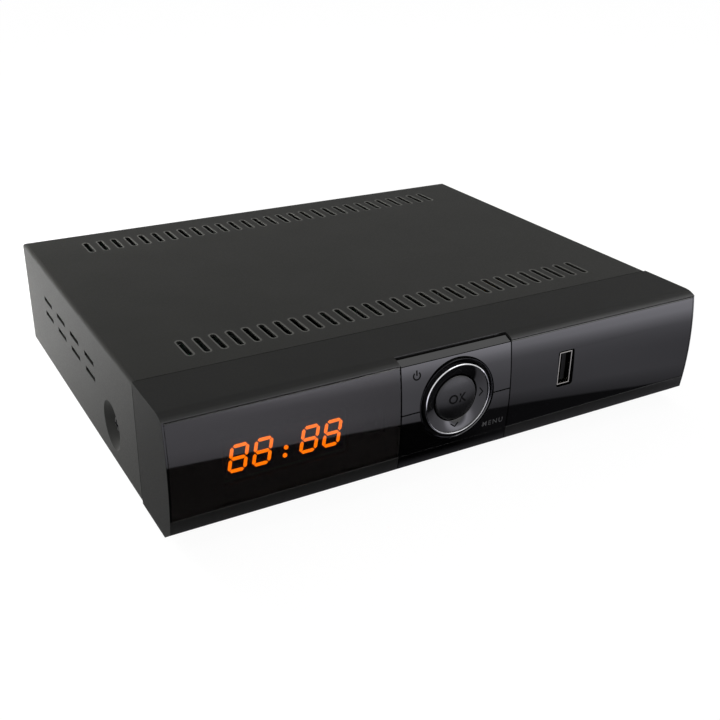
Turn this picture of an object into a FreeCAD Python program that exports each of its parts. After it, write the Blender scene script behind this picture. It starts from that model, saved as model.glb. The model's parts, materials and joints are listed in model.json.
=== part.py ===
"""Satellite television receiver: folded steel case, moulded front panel, controls, boards and sockets.

Millimetres. X runs along the front from left to right, Y from the front to the rear, Z up. The origin is on
the surface that the feet stand on, under the middle of the overall box.
"""

import FreeCAD, Part
import math
import os

import Sketcher
from FreeCAD import Vector

# ---------------------------------------------------------------- driving dimensions

SIZES = {
    # case
    "case_width": 220.0,
    "case_depth": 172.2,
    "case_height": 45.8,
    "sheet_metal": 0.8,
    "bend_radius": 1.6,
    "hem_width": 4.0,
    "rear_lip": 8.0,
    "foot_height": 3.0,
    "foot_radius": 8.0,
    "foot_inset": 24.0,
    "jack_reach": 10.0,
    # vent slots in the cover
    "slot_pitch": 6.16,
    "slot_length": 12.9,
    "slot_width": 2.2,
    "front_slots_back": 37.5,
    "rear_slots_back": 153.5,
    "side_slot_pitch": 19.9,
    "side_slot_length": 12.0,
    "side_slot_width": 1.9,
    "side_slots_back": 74.6,
    "side_slot_low": 25.2,
    "side_slot_high": 31.5,
    # screw dimple in each side
    "dimple_radius": 9.3,
    "dimple_floor": 5.4,
    "dimple_depth": 3.4,
    "dimple_back": 51.2,
    "dimple_rise": 15.2,
    # front panel
    "panel_depth": 21.2,
    "panel_wall": 2.2,
    "face_bulge": 7.8,
    "face_radius": 125.0,
    "brow_radius": 10.0,
    "brow_rise": 44.4,
    "chin_rise": 4.4,
    "gloss_thickness": 1.8,
    "gloss_low": 9.6,
    "gloss_high": 43.9,
    "web_thickness": 1.7,
    "seam_gap": 0.3,
    "lip_length": 5.0,
    "lip_thickness": 1.6,
    # control block
    "block_centre": -3.8,
    "block_width": 46.4,
    "key_split": 25.8,
    "key_travel": 0.5,
    "ring_rise": 27.0,
    "well_radius": 15.7,
    "trim_radius": 13.6,
    "trim_width": 0.8,
    "trim_proud": 0.5,
    "pad_inner_radius": 9.0,
    "ok_radius": 8.5,
    "nav_reach": 10.2,
    "key_post_rise_power": 36.5,
    "key_post_rise_menu": 13.5,
    "key_post_left": -21.0,
    "key_post_right": 12.4,
    # display and front socket
    "digits_centre": -69.2,
    "digits_rise": 25.6,
    "digit_pitch": 8.35,
    "digit_height": 9.8,
    "digit_width": 6.4,
    "segment_width": 1.1,
    "usb_centre": 45.0,
    "usb_rise": 27.8,
    "usb_cut_width": 7.5,
    "usb_cut_height": 14.3,
    # boards
    "board_thickness": 1.6,
    "board_clearance": 5.0,
    "front_board_back": 5.2,
    "main_board_left": -103.0,
    "main_board_right": 66.0,
    "main_board_front": -48.0,
    "power_board_left": 70.5,
    "power_board_right": 103.0,
    # rear sockets
    "lnb_in_at": -92.0,
    "loop_out_at": -68.0,
    "tuner_axis_rise": 7.6,
    "f_radius": 4.76,
    "hdmi_at": -44.0,
    "scart_at": -7.0,
    "av_at": 43.0,
    "av_pitch": 14.0,
    "av_radius": 4.15,
    "inlet_at": 87.0,
    "socket_rise": 7.1,
}


class Size:
    """A length together with the sheet formula that gives it."""

    def __init__(self, value, formula):
        self.value = float(value)
        self.formula = formula

    def joined(self, sign, other, value, swapped=False):
        left, right = (text(other), self.formula) if swapped else (self.formula, text(other))
        return Size(value, f"({left} {sign} {right})")

    def __add__(self, other):
        return self.joined("+", other, self.value + number(other))

    def __sub__(self, other):
        return self.joined("-", other, self.value - number(other))

    def __mul__(self, other):
        return self.joined("*", other, self.value * number(other))

    def __truediv__(self, other):
        return self.joined("/", other, self.value / number(other))

    def __radd__(self, other):
        return self.joined("+", other, number(other) + self.value, swapped=True)

    def __rsub__(self, other):
        return self.joined("-", other, number(other) - self.value, swapped=True)

    def __rmul__(self, other):
        return self.joined("*", other, number(other) * self.value, swapped=True)

    def __neg__(self):
        return Size(-self.value, f"(-1 * {self.formula})")


def number(size):
    return size.value if isinstance(size, Size) else float(size)


def text(size):
    return size.formula if isinstance(size, Size) else f"({float(size)})"


def root(size):
    return Size(math.sqrt(size.value), f"sqrt({size.formula})")


doc = FreeCAD.newDocument("satellite_receiver")
sheet = doc.addObject("Spreadsheet::Sheet", "Sizes")
for row, (alias, value) in enumerate(SIZES.items(), start=1):
    sheet.set(f"A{row}", alias)
    sheet.set(f"B{row}", str(value))
    sheet.setAlias(f"B{row}", alias)
doc.recompute()

cell = {alias: Size(value, f"Sizes.{alias}") for alias, value in SIZES.items()}

# ---------------------------------------------------------------- places worked out from the sheet

half_width = cell["case_width"] / 2
metal = cell["sheet_metal"]
case_bottom = cell["foot_height"]
case_top = cell["foot_height"] + cell["case_height"]
ring_above_middle = cell["ring_rise"] - cell["case_height"] / 2
ring_fall = cell["face_radius"] - root(cell["face_radius"] * cell["face_radius"]
                                       - ring_above_middle * ring_above_middle)
front_reach = cell["face_bulge"] - ring_fall + cell["trim_proud"]
front_plane = (front_reach - cell["case_depth"] - cell["jack_reach"]) / 2
back_plane = front_plane + cell["case_depth"]
seam = front_plane + cell["panel_depth"]
panel_screw_y = seam + 2.8
cover_front = seam + cell["seam_gap"]
face_middle = case_bottom + cell["case_height"] / 2
ring_x = cell["block_centre"]
ring_z = case_bottom + cell["ring_rise"]
split_z = case_bottom + cell["key_split"]
wall_back = back_plane - metal - 0.2
tray_half = half_width - cell["hem_width"] - 0.3
dimple_y = front_plane + cell["dimple_back"]
dimple_z = case_bottom + cell["dimple_rise"]
front_board = front_plane + cell["front_board_back"]
frame_plate_front = front_plane - 2.0
frame_plate_back = frame_plate_front + 1.5
post_tip = frame_plate_back + 0.5
switch_tip = post_tip + cell["key_travel"] + 0.1
board_bottom = case_bottom + metal + cell["board_clearance"]
board_top = board_bottom + cell["board_thickness"]
socket_z = board_top + cell["socket_rise"]
tuner_z = board_top + cell["tuner_axis_rise"]
hdmi_z = board_top + 2.8
rear_inside = wall_back - metal
rear_screw_z = case_top - 4.2
gloss_inset = cell["gloss_thickness"] + 0.1
web_inset = gloss_inset + cell["web_thickness"]
gloss_foot = case_bottom + cell["gloss_low"]
gloss_crest = case_bottom + cell["gloss_high"]
power_post_z = case_bottom + cell["key_post_rise_power"]
menu_post_z = case_bottom + cell["key_post_rise_menu"]
digits_z = case_bottom + cell["digits_rise"]
usb_z = case_bottom + cell["usb_rise"]
module_front = front_plane - 5.0


def face_y(rise, inset=0.0):
    """Depth of the convex front face at a height, or of the surface a given inset behind it."""
    height = rise - face_middle
    radius = cell["face_radius"] - inset
    return front_plane - cell["face_bulge"] + cell["face_radius"] - root(radius * radius - height * height)


nav_pivot_y = face_y(ring_z) + 4.4

# where the fasteners stand
REAR_SCREWS_X = (-80.0, 0.0, 80.0)
PANEL_SCREWS_X = (-62.0, 62.0)
MAIN_BOARD_SCREWS = ((-98.0, -42.0), (-98.0, 46.0), (-22.0, 30.0), (60.0, -42.0), (60.0, 60.0))
POWER_BOARD_SCREWS = ((75.0, -42.0), (98.5, -42.0), (74.0, 30.0))
IR_EYE_X = -37.0
FRONT_BOARD_SCREWS = ((-98.0, 10.0), (-98.0, 36.0), (-37.0, 8.5), (60.0, 10.0), (60.0, 36.0))

# ---------------------------------------------------------------- modelling helpers

NODES = []


def bind(target, prop, size):
    if isinstance(size, Size):
        target.setExpression(prop, size.formula)
    else:
        setattr(target, prop, size)


def place(target, x=0.0, y=0.0, z=0.0):
    target.Placement.Base = Vector(number(x), number(y), number(z))
    for axis, size in zip("xyz", (x, y, z)):
        if isinstance(size, Size):
            target.setExpression(f"Placement.Base.{axis}", size.formula)


def node(target, label):
    target.Label = label
    NODES.append(target)
    return target


def new_body(label, x=0.0, y=0.0, z=0.0):
    body = doc.addObject("PartDesign::Body", label)
    place(body, x, y, z)
    return node(body, label)


def new_sketch(body, plane, offset=0.0, shift=(0.0, 0.0)):
    """A sketch on one of the body's origin planes: XY at a height, XZ at a depth or YZ at a side offset."""
    sketch = body.newObject("Sketcher::SketchObject", "Sketch")
    support = [item for item in body.Origin.OriginFeatures if item.Role == plane + "_Plane"][0]
    sketch.AttachmentSupport = [(support, "")]
    sketch.MapMode = "FlatFace"
    along = -1.0 * offset if plane == "XZ" else offset
    for axis, size in zip("xyz", (*shift, along)):
        if isinstance(size, Size):
            sketch.setExpression(f"AttachmentOffset.Base.{axis}", size.formula)
    sketch.AttachmentOffset.Base = Vector(number(shift[0]), number(shift[1]), number(along))
    return sketch


def fix(sketch, kind, *arguments):
    """Adds a dimension whose last argument is a size, and binds it to the sheet."""
    size = arguments[-1]
    index = sketch.addConstraint(Sketcher.Constraint(kind, *arguments[:-1], number(size)))
    if isinstance(size, Size):
        sketch.setExpression(f"Constraints[{index}]", size.formula)


def fix_point(sketch, geometry, end, point):
    fix(sketch, "DistanceX", -1, 1, geometry, end, point[0])
    fix(sketch, "DistanceY", -1, 1, geometry, end, point[1])


def outline(sketch, points, arcs=None):
    """A closed outline through points. arcs gives the radius of the edge that leaves a point, above zero
    where the edge bulges to the right of its direction and below zero where it bulges to the left."""
    arcs = arcs or {}
    count = len(points)
    spots = [Vector(number(x), number(y), 0) for x, y in points]
    edges = []
    for i in range(count):
        start, end = spots[i], spots[(i + 1) % count]
        if i not in arcs:
            edges.append((sketch.addGeometry(Part.LineSegment(start, end)), 1, 2))
            continue
        radius = abs(number(arcs[i]))
        chord = end - start
        sagitta = radius - math.sqrt(radius ** 2 - (chord.Length / 2) ** 2)
        side = Vector(chord.y, -chord.x, 0).normalize() * math.copysign(sagitta, number(arcs[i]))
        arc = Part.Arc(start, (start + end) / 2 + side, end)
        geometry = sketch.addGeometry(arc)
        first = 1 if sketch.getPoint(geometry, 1).distanceToPoint(start) < 1e-6 else 2
        edges.append((geometry, first, 3 - first))
    for i in range(count):
        geometry, _, last = edges[i]
        following, first, _ = edges[(i + 1) % count]
        sketch.addConstraint(Sketcher.Constraint("Coincident", geometry, last, following, first))
    for (geometry, first, _), point in zip(edges, points):
        fix_point(sketch, geometry, first, point)
    for i, radius in arcs.items():
        fix(sketch, "Radius", edges[i][0], radius if number(radius) > 0 else -radius)
    return sketch


def rectangle(sketch, left, low, right, high):
    return outline(sketch, [(left, low), (right, low), (right, high), (left, high)])


def centred(sketch, x, y, width, height):
    return rectangle(sketch, x - width / 2, y - height / 2, x + width / 2, y + height / 2)


def circle(sketch, x, y, radius):
    middle = Vector(number(x), number(y), 0)
    geometry = sketch.addGeometry(Part.Circle(middle, Vector(0, 0, 1), number(radius)))
    fix_point(sketch, geometry, 3, (x, y))
    fix(sketch, "Radius", geometry, radius)
    return sketch


def punched_slot(sketch, x, y, length, width, upright=True):
    """A narrow punched slot centred on a point. Each rounded end is three straight flats."""
    reach, side = length / 2, width / 2
    bend = side * math.sin(math.radians(30))
    rise = side * (1 - math.cos(math.radians(30)))
    shoulder = reach - side
    quarter = [(side, shoulder), (bend, reach - rise)]
    ring = quarter + [(-1.0 * px, py) for px, py in reversed(quarter)]
    ring += [(-1.0 * px, -1.0 * py) for px, py in quarter]
    ring += [(px, -1.0 * py) for px, py in reversed(quarter)]
    if not upright:
        ring = [(py, px) for px, py in ring]
    return outline(sketch, [(x + px, y + py) for px, py in ring])


def polygon(sketch, x, y, radius, sides=8):
    """A regular polygon with a flat at the bottom, for a small hole or post out of sight."""
    turns = [math.pi * (2 * i + 1) / sides for i in range(sides)]
    return outline(sketch, [(x + radius * math.sin(angle), y + radius * math.cos(angle)) for angle in turns])


def feature(body, kind, sketch, length, way):
    """A Pad or Pocket that runs from its sketch up an axis of the model (1), down it (-1) or both (0)."""
    item = body.newObject(f"PartDesign::{kind}", kind)
    item.Profile = sketch
    if length is None:
        item.Type = "ThroughAll"
    else:
        bind(item, "Length", length)
    faces_up = sketch.AttachmentSupport[0][0].Role != "XZ_Plane"
    if way == 0:
        item.Midplane = True
    else:
        item.Reversed = (way > 0) != (faces_up == (kind == "Pad"))
    doc.recompute()
    return item


def pad(body, sketch, length, way=1):
    return feature(body, "Pad", sketch, length, way)


def pocket(body, sketch, length=None, way=1):
    """Cuts a sketch out of the body and makes sure that it takes material away."""
    before = body.Shape.Volume
    item = feature(body, "Pocket", sketch, length, way)
    if item.Shape.isNull() or not item.Shape.Volume < before - 1e-6:
        raise RuntimeError(f"{body.Label}: a pocket cuts nothing, or everything")
    return item


def turn(body, sketch, kind="Revolution", axis="V_Axis"):
    """Revolves or grooves a sketch through a full turn about one of its own axes."""
    item = body.newObject(f"PartDesign::{kind}", kind)
    item.Profile = sketch
    item.ReferenceAxis = (sketch, [axis])
    item.Angle = 360
    doc.recompute()
    return item


def origin_axis(body, role):
    return [item for item in body.Origin.OriginFeatures if item.Role == role][0]


def row_of(body, features, role, count, pitch):
    """Repeats features along an axis of the body, count times at a pitch."""
    item = body.newObject("PartDesign::LinearPattern", "LinearPattern")
    item.Originals = features
    item.Direction = (origin_axis(body, role), [""])
    item.Mode = "Spacing"
    bind(item, "Offset", pitch)
    item.Occurrences = count
    body.Tip = item
    doc.recompute()
    return item


def mirrored(body, features, plane):
    item = body.newObject("PartDesign::Mirrored", "Mirrored")
    item.Originals = features
    item.MirrorPlane = (origin_axis(body, plane + "_Plane"), [""])
    body.Tip = item
    doc.recompute()
    return item


def edges_where(shape, test):
    return [f"Edge{i}" for i, edge in enumerate(shape.Edges, start=1) if test(edge)]


def runs_along(edge, axis):
    """True for a straight edge that is parallel to an axis of the model."""
    if edge.Curve.TypeId != "Part::GeomLine":
        return False
    direction = edge.Curve.Direction
    return abs(abs(getattr(direction, axis)) - 1) < 1e-6


def dress(body, kind, prop, size, test):
    """Fillets or chamfers the edges of the body's last feature that pass a test."""
    base = body.Tip
    item = body.newObject(f"PartDesign::{kind}", kind)
    item.Base = (base, edges_where(base.Shape, test))
    bind(item, prop, size)
    doc.recompute()
    return item


def fillet(body, radius, test):
    return dress(body, "Fillet", "Radius", radius, test)


def chamfer(body, size, test):
    return dress(body, "Chamfer", "Size", size, test)


def hollow(body, thickness, test):
    """Turns the body into a shell of sheet, leaving out the faces that pass a test."""
    base = body.Tip
    faces = [f"Face{i}" for i, face in enumerate(base.Shape.Faces, start=1) if test(face)]
    item = body.newObject("PartDesign::Thickness", "Thickness")
    item.Base = (base, faces)
    bind(item, "Value", thickness)
    item.Reversed = True
    item.Mode = 0
    item.Join = 0
    doc.recompute()
    return item


def block(low, size, label="Block"):
    """A Part box from its lowest corner and its three sizes."""
    item = doc.addObject("Part::Box", "Box")
    item.Label = label
    for prop, length in zip(("Length", "Width", "Height"), size):
        bind(item, prop, length)
    place(item, *low)
    return item


TURNED = {
    "X": FreeCAD.Rotation(Vector(0, 1, 0), 90),
    "Y": FreeCAD.Rotation(Vector(1, 0, 0), -90),
    "Z": FreeCAD.Rotation(),
}


def rod(base, radius, length, axis="Z", label="Rod"):
    """A Part cylinder that starts at a point and runs along an axis."""
    item = doc.addObject("Part::Cylinder", "Cylinder")
    item.Label = label
    bind(item, "Radius", radius)
    bind(item, "Height", length)
    item.Placement.Rotation = TURNED[axis]
    place(item, *base)
    return item


def bar(base, radius, length, axis="Z", sides=8):
    """A Part prism with a regular section, used where a small round is out of sight."""
    item = doc.addObject("Part::Prism", "Prism")
    item.Polygon = sides
    bind(item, "Circumradius", radius)
    bind(item, "Height", length)
    item.Placement.Rotation = TURNED[axis]
    place(item, *base)
    return item


def fused(parts, label="Fusion"):
    item = doc.addObject("Part::MultiFuse", "Fusion")
    item.Label = label
    item.Shapes = parts
    item.Refine = True
    return item


def without(base, tools, label="Cut"):
    item = doc.addObject("Part::Cut", "Cut")
    item.Label = label
    item.Base = base
    item.Tool = tools[0] if len(tools) == 1 else fused(tools)
    return item


def group(parts, label):
    """Separate solids that are one node."""
    item = doc.addObject("Part::Compound", "Group")
    item.Links = parts
    return node(item, label)


# ---------------------------------------------------------------- case


def top_cover():
    """Folded cover: top, both sides, a hem under each side and a lip down the rear."""
    body = new_body("top_cover")
    depth = back_plane - cover_front
    section = rectangle(new_sketch(body, "XZ", cover_front), -half_width, case_bottom, half_width, case_top)
    pad(body, section, depth)
    fillet(body, cell["bend_radius"], lambda edge: runs_along(edge, "y")
           or (runs_along(edge, "x") and edge.BoundBox.YMin > 0 and edge.BoundBox.ZMin > 20))
    hollow(body, metal, lambda face: face.BoundBox.YMax < number(cover_front) + 0.1)
    mouth = half_width - cell["hem_width"]
    below = rectangle(new_sketch(body, "XY", case_bottom - 1), -mouth, cover_front - 1, mouth, back_plane + 1)
    pocket(body, below, metal + 2)
    inside = half_width - metal
    behind = rectangle(new_sketch(body, "XZ", back_plane + 1), -inside, case_bottom + metal,
                       inside, case_top - cell["rear_lip"])
    pocket(body, behind, 4.0, way=-1)

    # two rows of vent slots on top, repeated across the width
    slot_count = 29
    first = -14 * cell["slot_pitch"]
    above = new_sketch(body, "XY", case_top + 1)
    for back in ("front_slots_back", "rear_slots_back"):
        punched_slot(above, first, front_plane + cell[back], cell["slot_length"], cell["slot_width"])
    slots = pocket(body, above, 3.0, way=-1)
    row_of(body, [slots], "X_Axis", slot_count, cell["slot_pitch"])

    # four columns of two slots through both sides
    beside = new_sketch(body, "YZ")
    for rise in ("side_slot_low", "side_slot_high"):
        centred(beside, front_plane + cell["side_slots_back"], case_bottom + cell[rise],
                cell["side_slot_length"], cell["side_slot_width"])
    side_slots = pocket(body, beside, way=0)
    row_of(body, [side_slots], "Y_Axis", 4, cell["side_slot_pitch"])

    # conical screw dimple pressed into each side
    rim, floor, deep = cell["dimple_radius"], cell["dimple_floor"], cell["dimple_depth"]
    inner = half_width - deep - metal
    boss = new_sketch(body, "XY", dimple_z, (0.0, dimple_y))
    outline(boss, [(inner, 0.0), (inside + 0.2, 0.0), (inside + 0.2, rim + 0.7), (inner, floor + 0.7)])
    pressed = turn(body, boss, axis="H_Axis")
    recess = new_sketch(body, "XY", dimple_z, (0.0, dimple_y))
    hole = 1.7
    outline(recess, [(inner - 0.5, 0.0), (half_width + 1, 0.0), (half_width + 1, rim), (half_width, rim),
                     (half_width - deep, floor), (half_width - deep, hole), (inner - 0.5, hole)])
    sunk = turn(body, recess, "Groove", axis="H_Axis")
    mirrored(body, [pressed, sunk], "YZ")

    screws = new_sketch(body, "XZ", back_plane + 1)
    for x in REAR_SCREWS_X:
        polygon(screws, x, rear_screw_z, 1.7, sides=6)
    pocket(body, screws, 4.0, way=-1)


def base_tray():
    """Folded bottom with side flanges, full rear wall and bottom vents."""
    body = new_body("base_tray")
    bottom = rectangle(new_sketch(body, "XY", case_bottom), -tray_half, cover_front, tray_half, wall_back)
    flange = 22.0
    pad(body, bottom, flange)
    fillet(body, 1.2, lambda edge: edge.BoundBox.ZMax < number(case_bottom) + 0.1)
    hollow(body, metal, lambda face: face.BoundBox.ZMin > number(case_bottom) + 5)
    opened = rectangle(new_sketch(body, "XZ", cover_front - 1), -tray_half - 1, case_bottom + metal,
                       tray_half + 1, case_bottom + flange + 1)
    pocket(body, opened, 6.0)
    wing = half_width - metal - 0.3
    wall = rectangle(new_sketch(body, "XZ", wall_back), -wing, case_bottom + metal + 0.2,
                     wing, case_top - metal - 0.4)
    pad(body, wall, metal, way=-1)

    # openings in the rear wall for the sockets
    cuts = new_sketch(body, "XZ", wall_back + 1)
    for x in ("lnb_in_at", "loop_out_at"):
        polygon(cuts, cell[x], tuner_z, cell["f_radius"] + 0.7)
    centred(cuts, cell["hdmi_at"], hdmi_z, 15.8, 6.4)
    centred(cuts, cell["scart_at"], socket_z, 48.4, 14.8)
    for step in (-1, 0, 1):
        polygon(cuts, cell["av_at"] + step * cell["av_pitch"], socket_z, 6.0, sides=12)
    centred(cuts, cell["inlet_at"], socket_z, 22.4, 14.2)
    for x in REAR_SCREWS_X:
        polygon(cuts, x, rear_screw_z, 1.3, sides=6)
    pocket(body, cuts, 3.0, way=-1)

    # cooling slots in the bottom, two rows under the boards
    vents = new_sketch(body, "XY", case_bottom - 1)
    for y in (-20.0, 34.0):
        centred(vents, -60.0, y, 2.6, 24.0)
    cooling = pocket(body, vents, 3.0)
    row_of(body, [cooling], "X_Axis", 9, 15.0)

    holes = new_sketch(body, "XY", case_bottom - 1)
    for x in PANEL_SCREWS_X:
        polygon(holes, x, panel_screw_y, 1.7)
    pocket(body, holes, 3.0)
    side = new_sketch(body, "YZ")
    polygon(side, dimple_y, dimple_z, 1.3)
    pocket(body, side, way=0)


def feet():
    """Tapered rubber feet stuck to the tray."""
    away_x = half_width - cell["foot_inset"]
    rows = {"front": cover_front + cell["foot_inset"] - 6, "rear": wall_back - cell["foot_inset"] + 6}
    draft = 1.2
    for row, y in rows.items():
        for side, x in (("left", -away_x), ("right", away_x)):
            body = new_body(f"foot_{row}_{side}", x, y, 0.0)
            top = new_sketch(body, "XY", cell["foot_height"])
            polygon(top, 0.0, 0.0, cell["foot_radius"], sides=24)
            foot = pad(body, top, cell["foot_height"], way=-1)
            foot.TaperAngle = -math.degrees(math.atan(draft / number(cell["foot_height"])))
    doc.recompute()


# ---------------------------------------------------------------- front panel


def arc_strip(sketch, low, high, front_inset, back_inset):
    """The section of a sheet that follows the convex face between two heights."""
    points = [(face_y(low, front_inset), low), (face_y(low, back_inset), low),
              (face_y(high, back_inset), high), (face_y(high, front_inset), high)]
    radius = cell["face_radius"]
    return outline(sketch, points, {1: -(radius - back_inset), 3: radius - front_inset})


def front_bezel():
    """Moulded panel housing: top band, cheeks, chin, web behind the gloss faces, bosses and rear lip."""
    body = new_body("front_bezel")
    chin = case_bottom + cell["chin_rise"]
    brow = case_bottom + cell["brow_rise"]
    profile = new_sketch(body, "YZ")
    outline(profile, [(seam, case_bottom), (seam, case_top), (front_plane - 1.1, case_top),
                      (face_y(brow), brow), (face_y(chin), chin), (front_plane - 0.6, case_bottom)],
            {2: cell["brow_radius"], 3: cell["face_radius"]})
    pad(body, profile, cell["case_width"], way=0)

    # room behind the web
    low, high = case_bottom + 5.5, case_top - 4.2
    cavity = new_sketch(body, "YZ")
    floor, roof = case_bottom + 2, case_top - 2
    outline(cavity, [(seam + 1, floor), (seam + 1, roof), (front_plane, roof),
                     (face_y(high, web_inset), high), (face_y(low, web_inset), low),
                     (front_plane - 1, floor)],
            {3: cell["face_radius"] - web_inset})
    pocket(body, cavity, cell["case_width"] - 2 * cell["panel_wall"], way=0)

    # step that the gloss faces sit in
    step = new_sketch(body, "YZ")
    ledge_low, ledge_high = gloss_foot - 0.2, gloss_crest + 0.1
    ahead = front_plane - cell["face_bulge"] - 4
    outline(step, [(ahead, ledge_low), (face_y(ledge_low, gloss_inset), ledge_low),
                   (face_y(ledge_high, gloss_inset), ledge_high), (ahead, ledge_high)],
            {1: -(cell["face_radius"] - gloss_inset)})
    pocket(body, step, cell["case_width"] - 1.4, way=0)

    # opening for the control block, notched into the top band and through the chin
    gap = new_sketch(body, "YZ", cell["block_centre"])
    under, over = case_bottom + 5, case_bottom + 42.6
    notch = front_plane - 1.9
    outline(gap, [(ahead, case_bottom - 1), (front_plane + 0.1, case_bottom - 1), (front_plane + 0.1, under),
                  (front_plane + 3, under), (front_plane + 3, over), (notch, over), (notch, case_top + 1),
                  (ahead, case_top + 1)])
    pocket(body, gap, cell["block_width"], way=0)

    # windows in the web for the display, the infrared eye and the front socket
    windows = new_sketch(body, "XZ", ahead)
    centred(windows, cell["digits_centre"], digits_z, 44.6, 17.0)
    centred(windows, IR_EYE_X, digits_z, 8.6, 9.6)
    centred(windows, cell["usb_centre"], usb_z, cell["usb_cut_width"] + 1.4, cell["usb_cut_height"] + 1.4)
    pocket(body, windows, 9.0)

    # lip that slides inside the cover
    play = metal + 0.25
    lip = new_sketch(body, "XZ", seam - 1)
    rectangle(lip, -half_width + play, case_bottom + play, half_width - play, case_top - play)
    inner = play + cell["lip_thickness"]
    rectangle(lip, -half_width + inner, case_bottom + inner, half_width - inner, case_top - inner)
    pad(body, lip, cell["lip_length"] + 1)

    # bosses that the front board is screwed to, and blocks for the panel screws
    bosses = new_sketch(body, "XZ", front_board)
    holes = new_sketch(body, "XZ", front_board + 1)
    for x, rise in FRONT_BOARD_SCREWS:
        polygon(bosses, x, case_bottom + rise, 2.8)
        polygon(holes, x, case_bottom + rise, 1.2, sides=6)
    pad(body, bosses, 9.2, way=-1)
    pocket(body, holes, 8.0, way=-1)
    blocks = new_sketch(body, "XZ", seam + cell["lip_length"] + 0.2)
    pilots = new_sketch(body, "XY", case_bottom)
    for x in PANEL_SCREWS_X:
        rectangle(blocks, x - 4, case_bottom + 1.2, x + 4, case_bottom + 12)
        polygon(pilots, x, panel_screw_y, 1.3, sides=6)
    pad(body, blocks, 14.0, way=-1)
    pocket(body, pilots, 10.0)


def gloss_face(label, left, right):
    """One gloss sheet of the convex face, with a fine chamfer along its top."""
    body = new_body(label)
    strip = new_sketch(body, "YZ", left)
    arc_strip(strip, gloss_foot, gloss_crest, 0.0, cell["gloss_thickness"])
    pad(body, strip, right - left)
    top = number(gloss_crest) - 0.01
    front = number(front_plane) - 5.0
    chamfer(body, 0.4, lambda edge: runs_along(edge, "x") and edge.BoundBox.ZMin > top
            and edge.BoundBox.YMax < front)
    return body


def gloss_faces():
    edge = half_width - 0.8
    block_left = cell["block_centre"] - cell["block_width"] / 2
    block_right = cell["block_centre"] + cell["block_width"] / 2
    gloss_face("display_lens", -edge, block_left - 0.1)
    body = gloss_face("usb_fascia", block_right + 0.1, edge)
    socket = new_sketch(body, "XZ", front_plane - 14)
    wide, tall = cell["usb_cut_width"], cell["usb_cut_height"]
    centred(socket, cell["usb_centre"], usb_z, wide, tall)
    pocket(body, socket, 12.0)
    left = number(cell["usb_centre"] - wide / 2)
    right = number(cell["usb_centre"] + wide / 2)
    fillet(body, 0.8, lambda edge: runs_along(edge, "y") and left - 0.1 < edge.BoundBox.XMin < right + 0.1)


def key_posts(body, posts):
    """Square posts with a snap head behind the key frame. One of each pair stands over a switch."""
    stems = new_sketch(body, "XZ", post_tip)
    heads = new_sketch(body, "XZ", post_tip)
    for x, z in posts:
        centred(stems, x, z, 3.4, 3.4)
        centred(heads, x, z, 5.6, 3.4)
    pad(body, stems, 7.4, way=-1)
    pad(body, heads, 0.4, way=-1)


def power_key():
    """Upper plate of the control block, with its own length of the top band."""
    body = new_body("power_key")
    low, high = split_z + 0.25, case_bottom + 43.3
    crest = front_plane - 2.9
    thick = cell["gloss_thickness"]
    inner_high = case_bottom + 41.6
    section = new_sketch(body, "YZ", cell["block_centre"])
    outline(section, [(face_y(low), low), (face_y(low, thick), low), (face_y(inner_high, thick), inner_high),
                      (crest, case_bottom + 43.0), (crest, case_bottom + 44.9), (face_y(high), high)],
            {1: -(cell["face_radius"] - thick), 5: cell["face_radius"]})
    pad(body, section, cell["block_width"] - 0.7, way=0)
    ring_hole(body)
    key_posts(body, [(cell["key_post_left"], power_post_z), (cell["key_post_right"], power_post_z)])


def menu_key():
    """Lower plate of the control block, which carries on round the chin."""
    body = new_body("menu_key")
    high, low = split_z - 0.25, case_bottom + cell["chin_rise"]
    thick = cell["gloss_thickness"]
    inner_low = case_bottom + 5.6
    heel = front_plane - 0.9
    section = new_sketch(body, "YZ", cell["block_centre"])
    outline(section, [(face_y(low), low), (heel, case_bottom + 0.25), (heel, case_bottom + 1.9),
                      (face_y(inner_low, thick), inner_low), (face_y(high, thick), high),
                      (face_y(high), high)],
            {3: -(cell["face_radius"] - thick), 5: cell["face_radius"]})
    pad(body, section, cell["block_width"] - 0.7, way=0)

    # the fine line that runs on from the foot of the gloss faces
    line = new_sketch(body, "YZ", cell["block_centre"])
    crease = gloss_foot - 0.1
    outline(line, [(front_plane - 9, crease - 0.1), (face_y(crease, 0.4), crease - 0.1),
                   (face_y(crease, 0.4), crease + 0.1), (front_plane - 9, crease + 0.1)])
    pocket(body, line, cell["block_width"], way=0)
    ring_hole(body)
    key_posts(body, [(cell["key_post_left"], menu_post_z), (cell["key_post_right"], menu_post_z)])


def ring_hole(body):
    """Clears a plate key round the ring's collar."""
    hole = circle(new_sketch(body, "XZ", front_plane - 14), ring_x, ring_z, cell["well_radius"])
    pocket(body, hole, 14.0)


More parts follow.
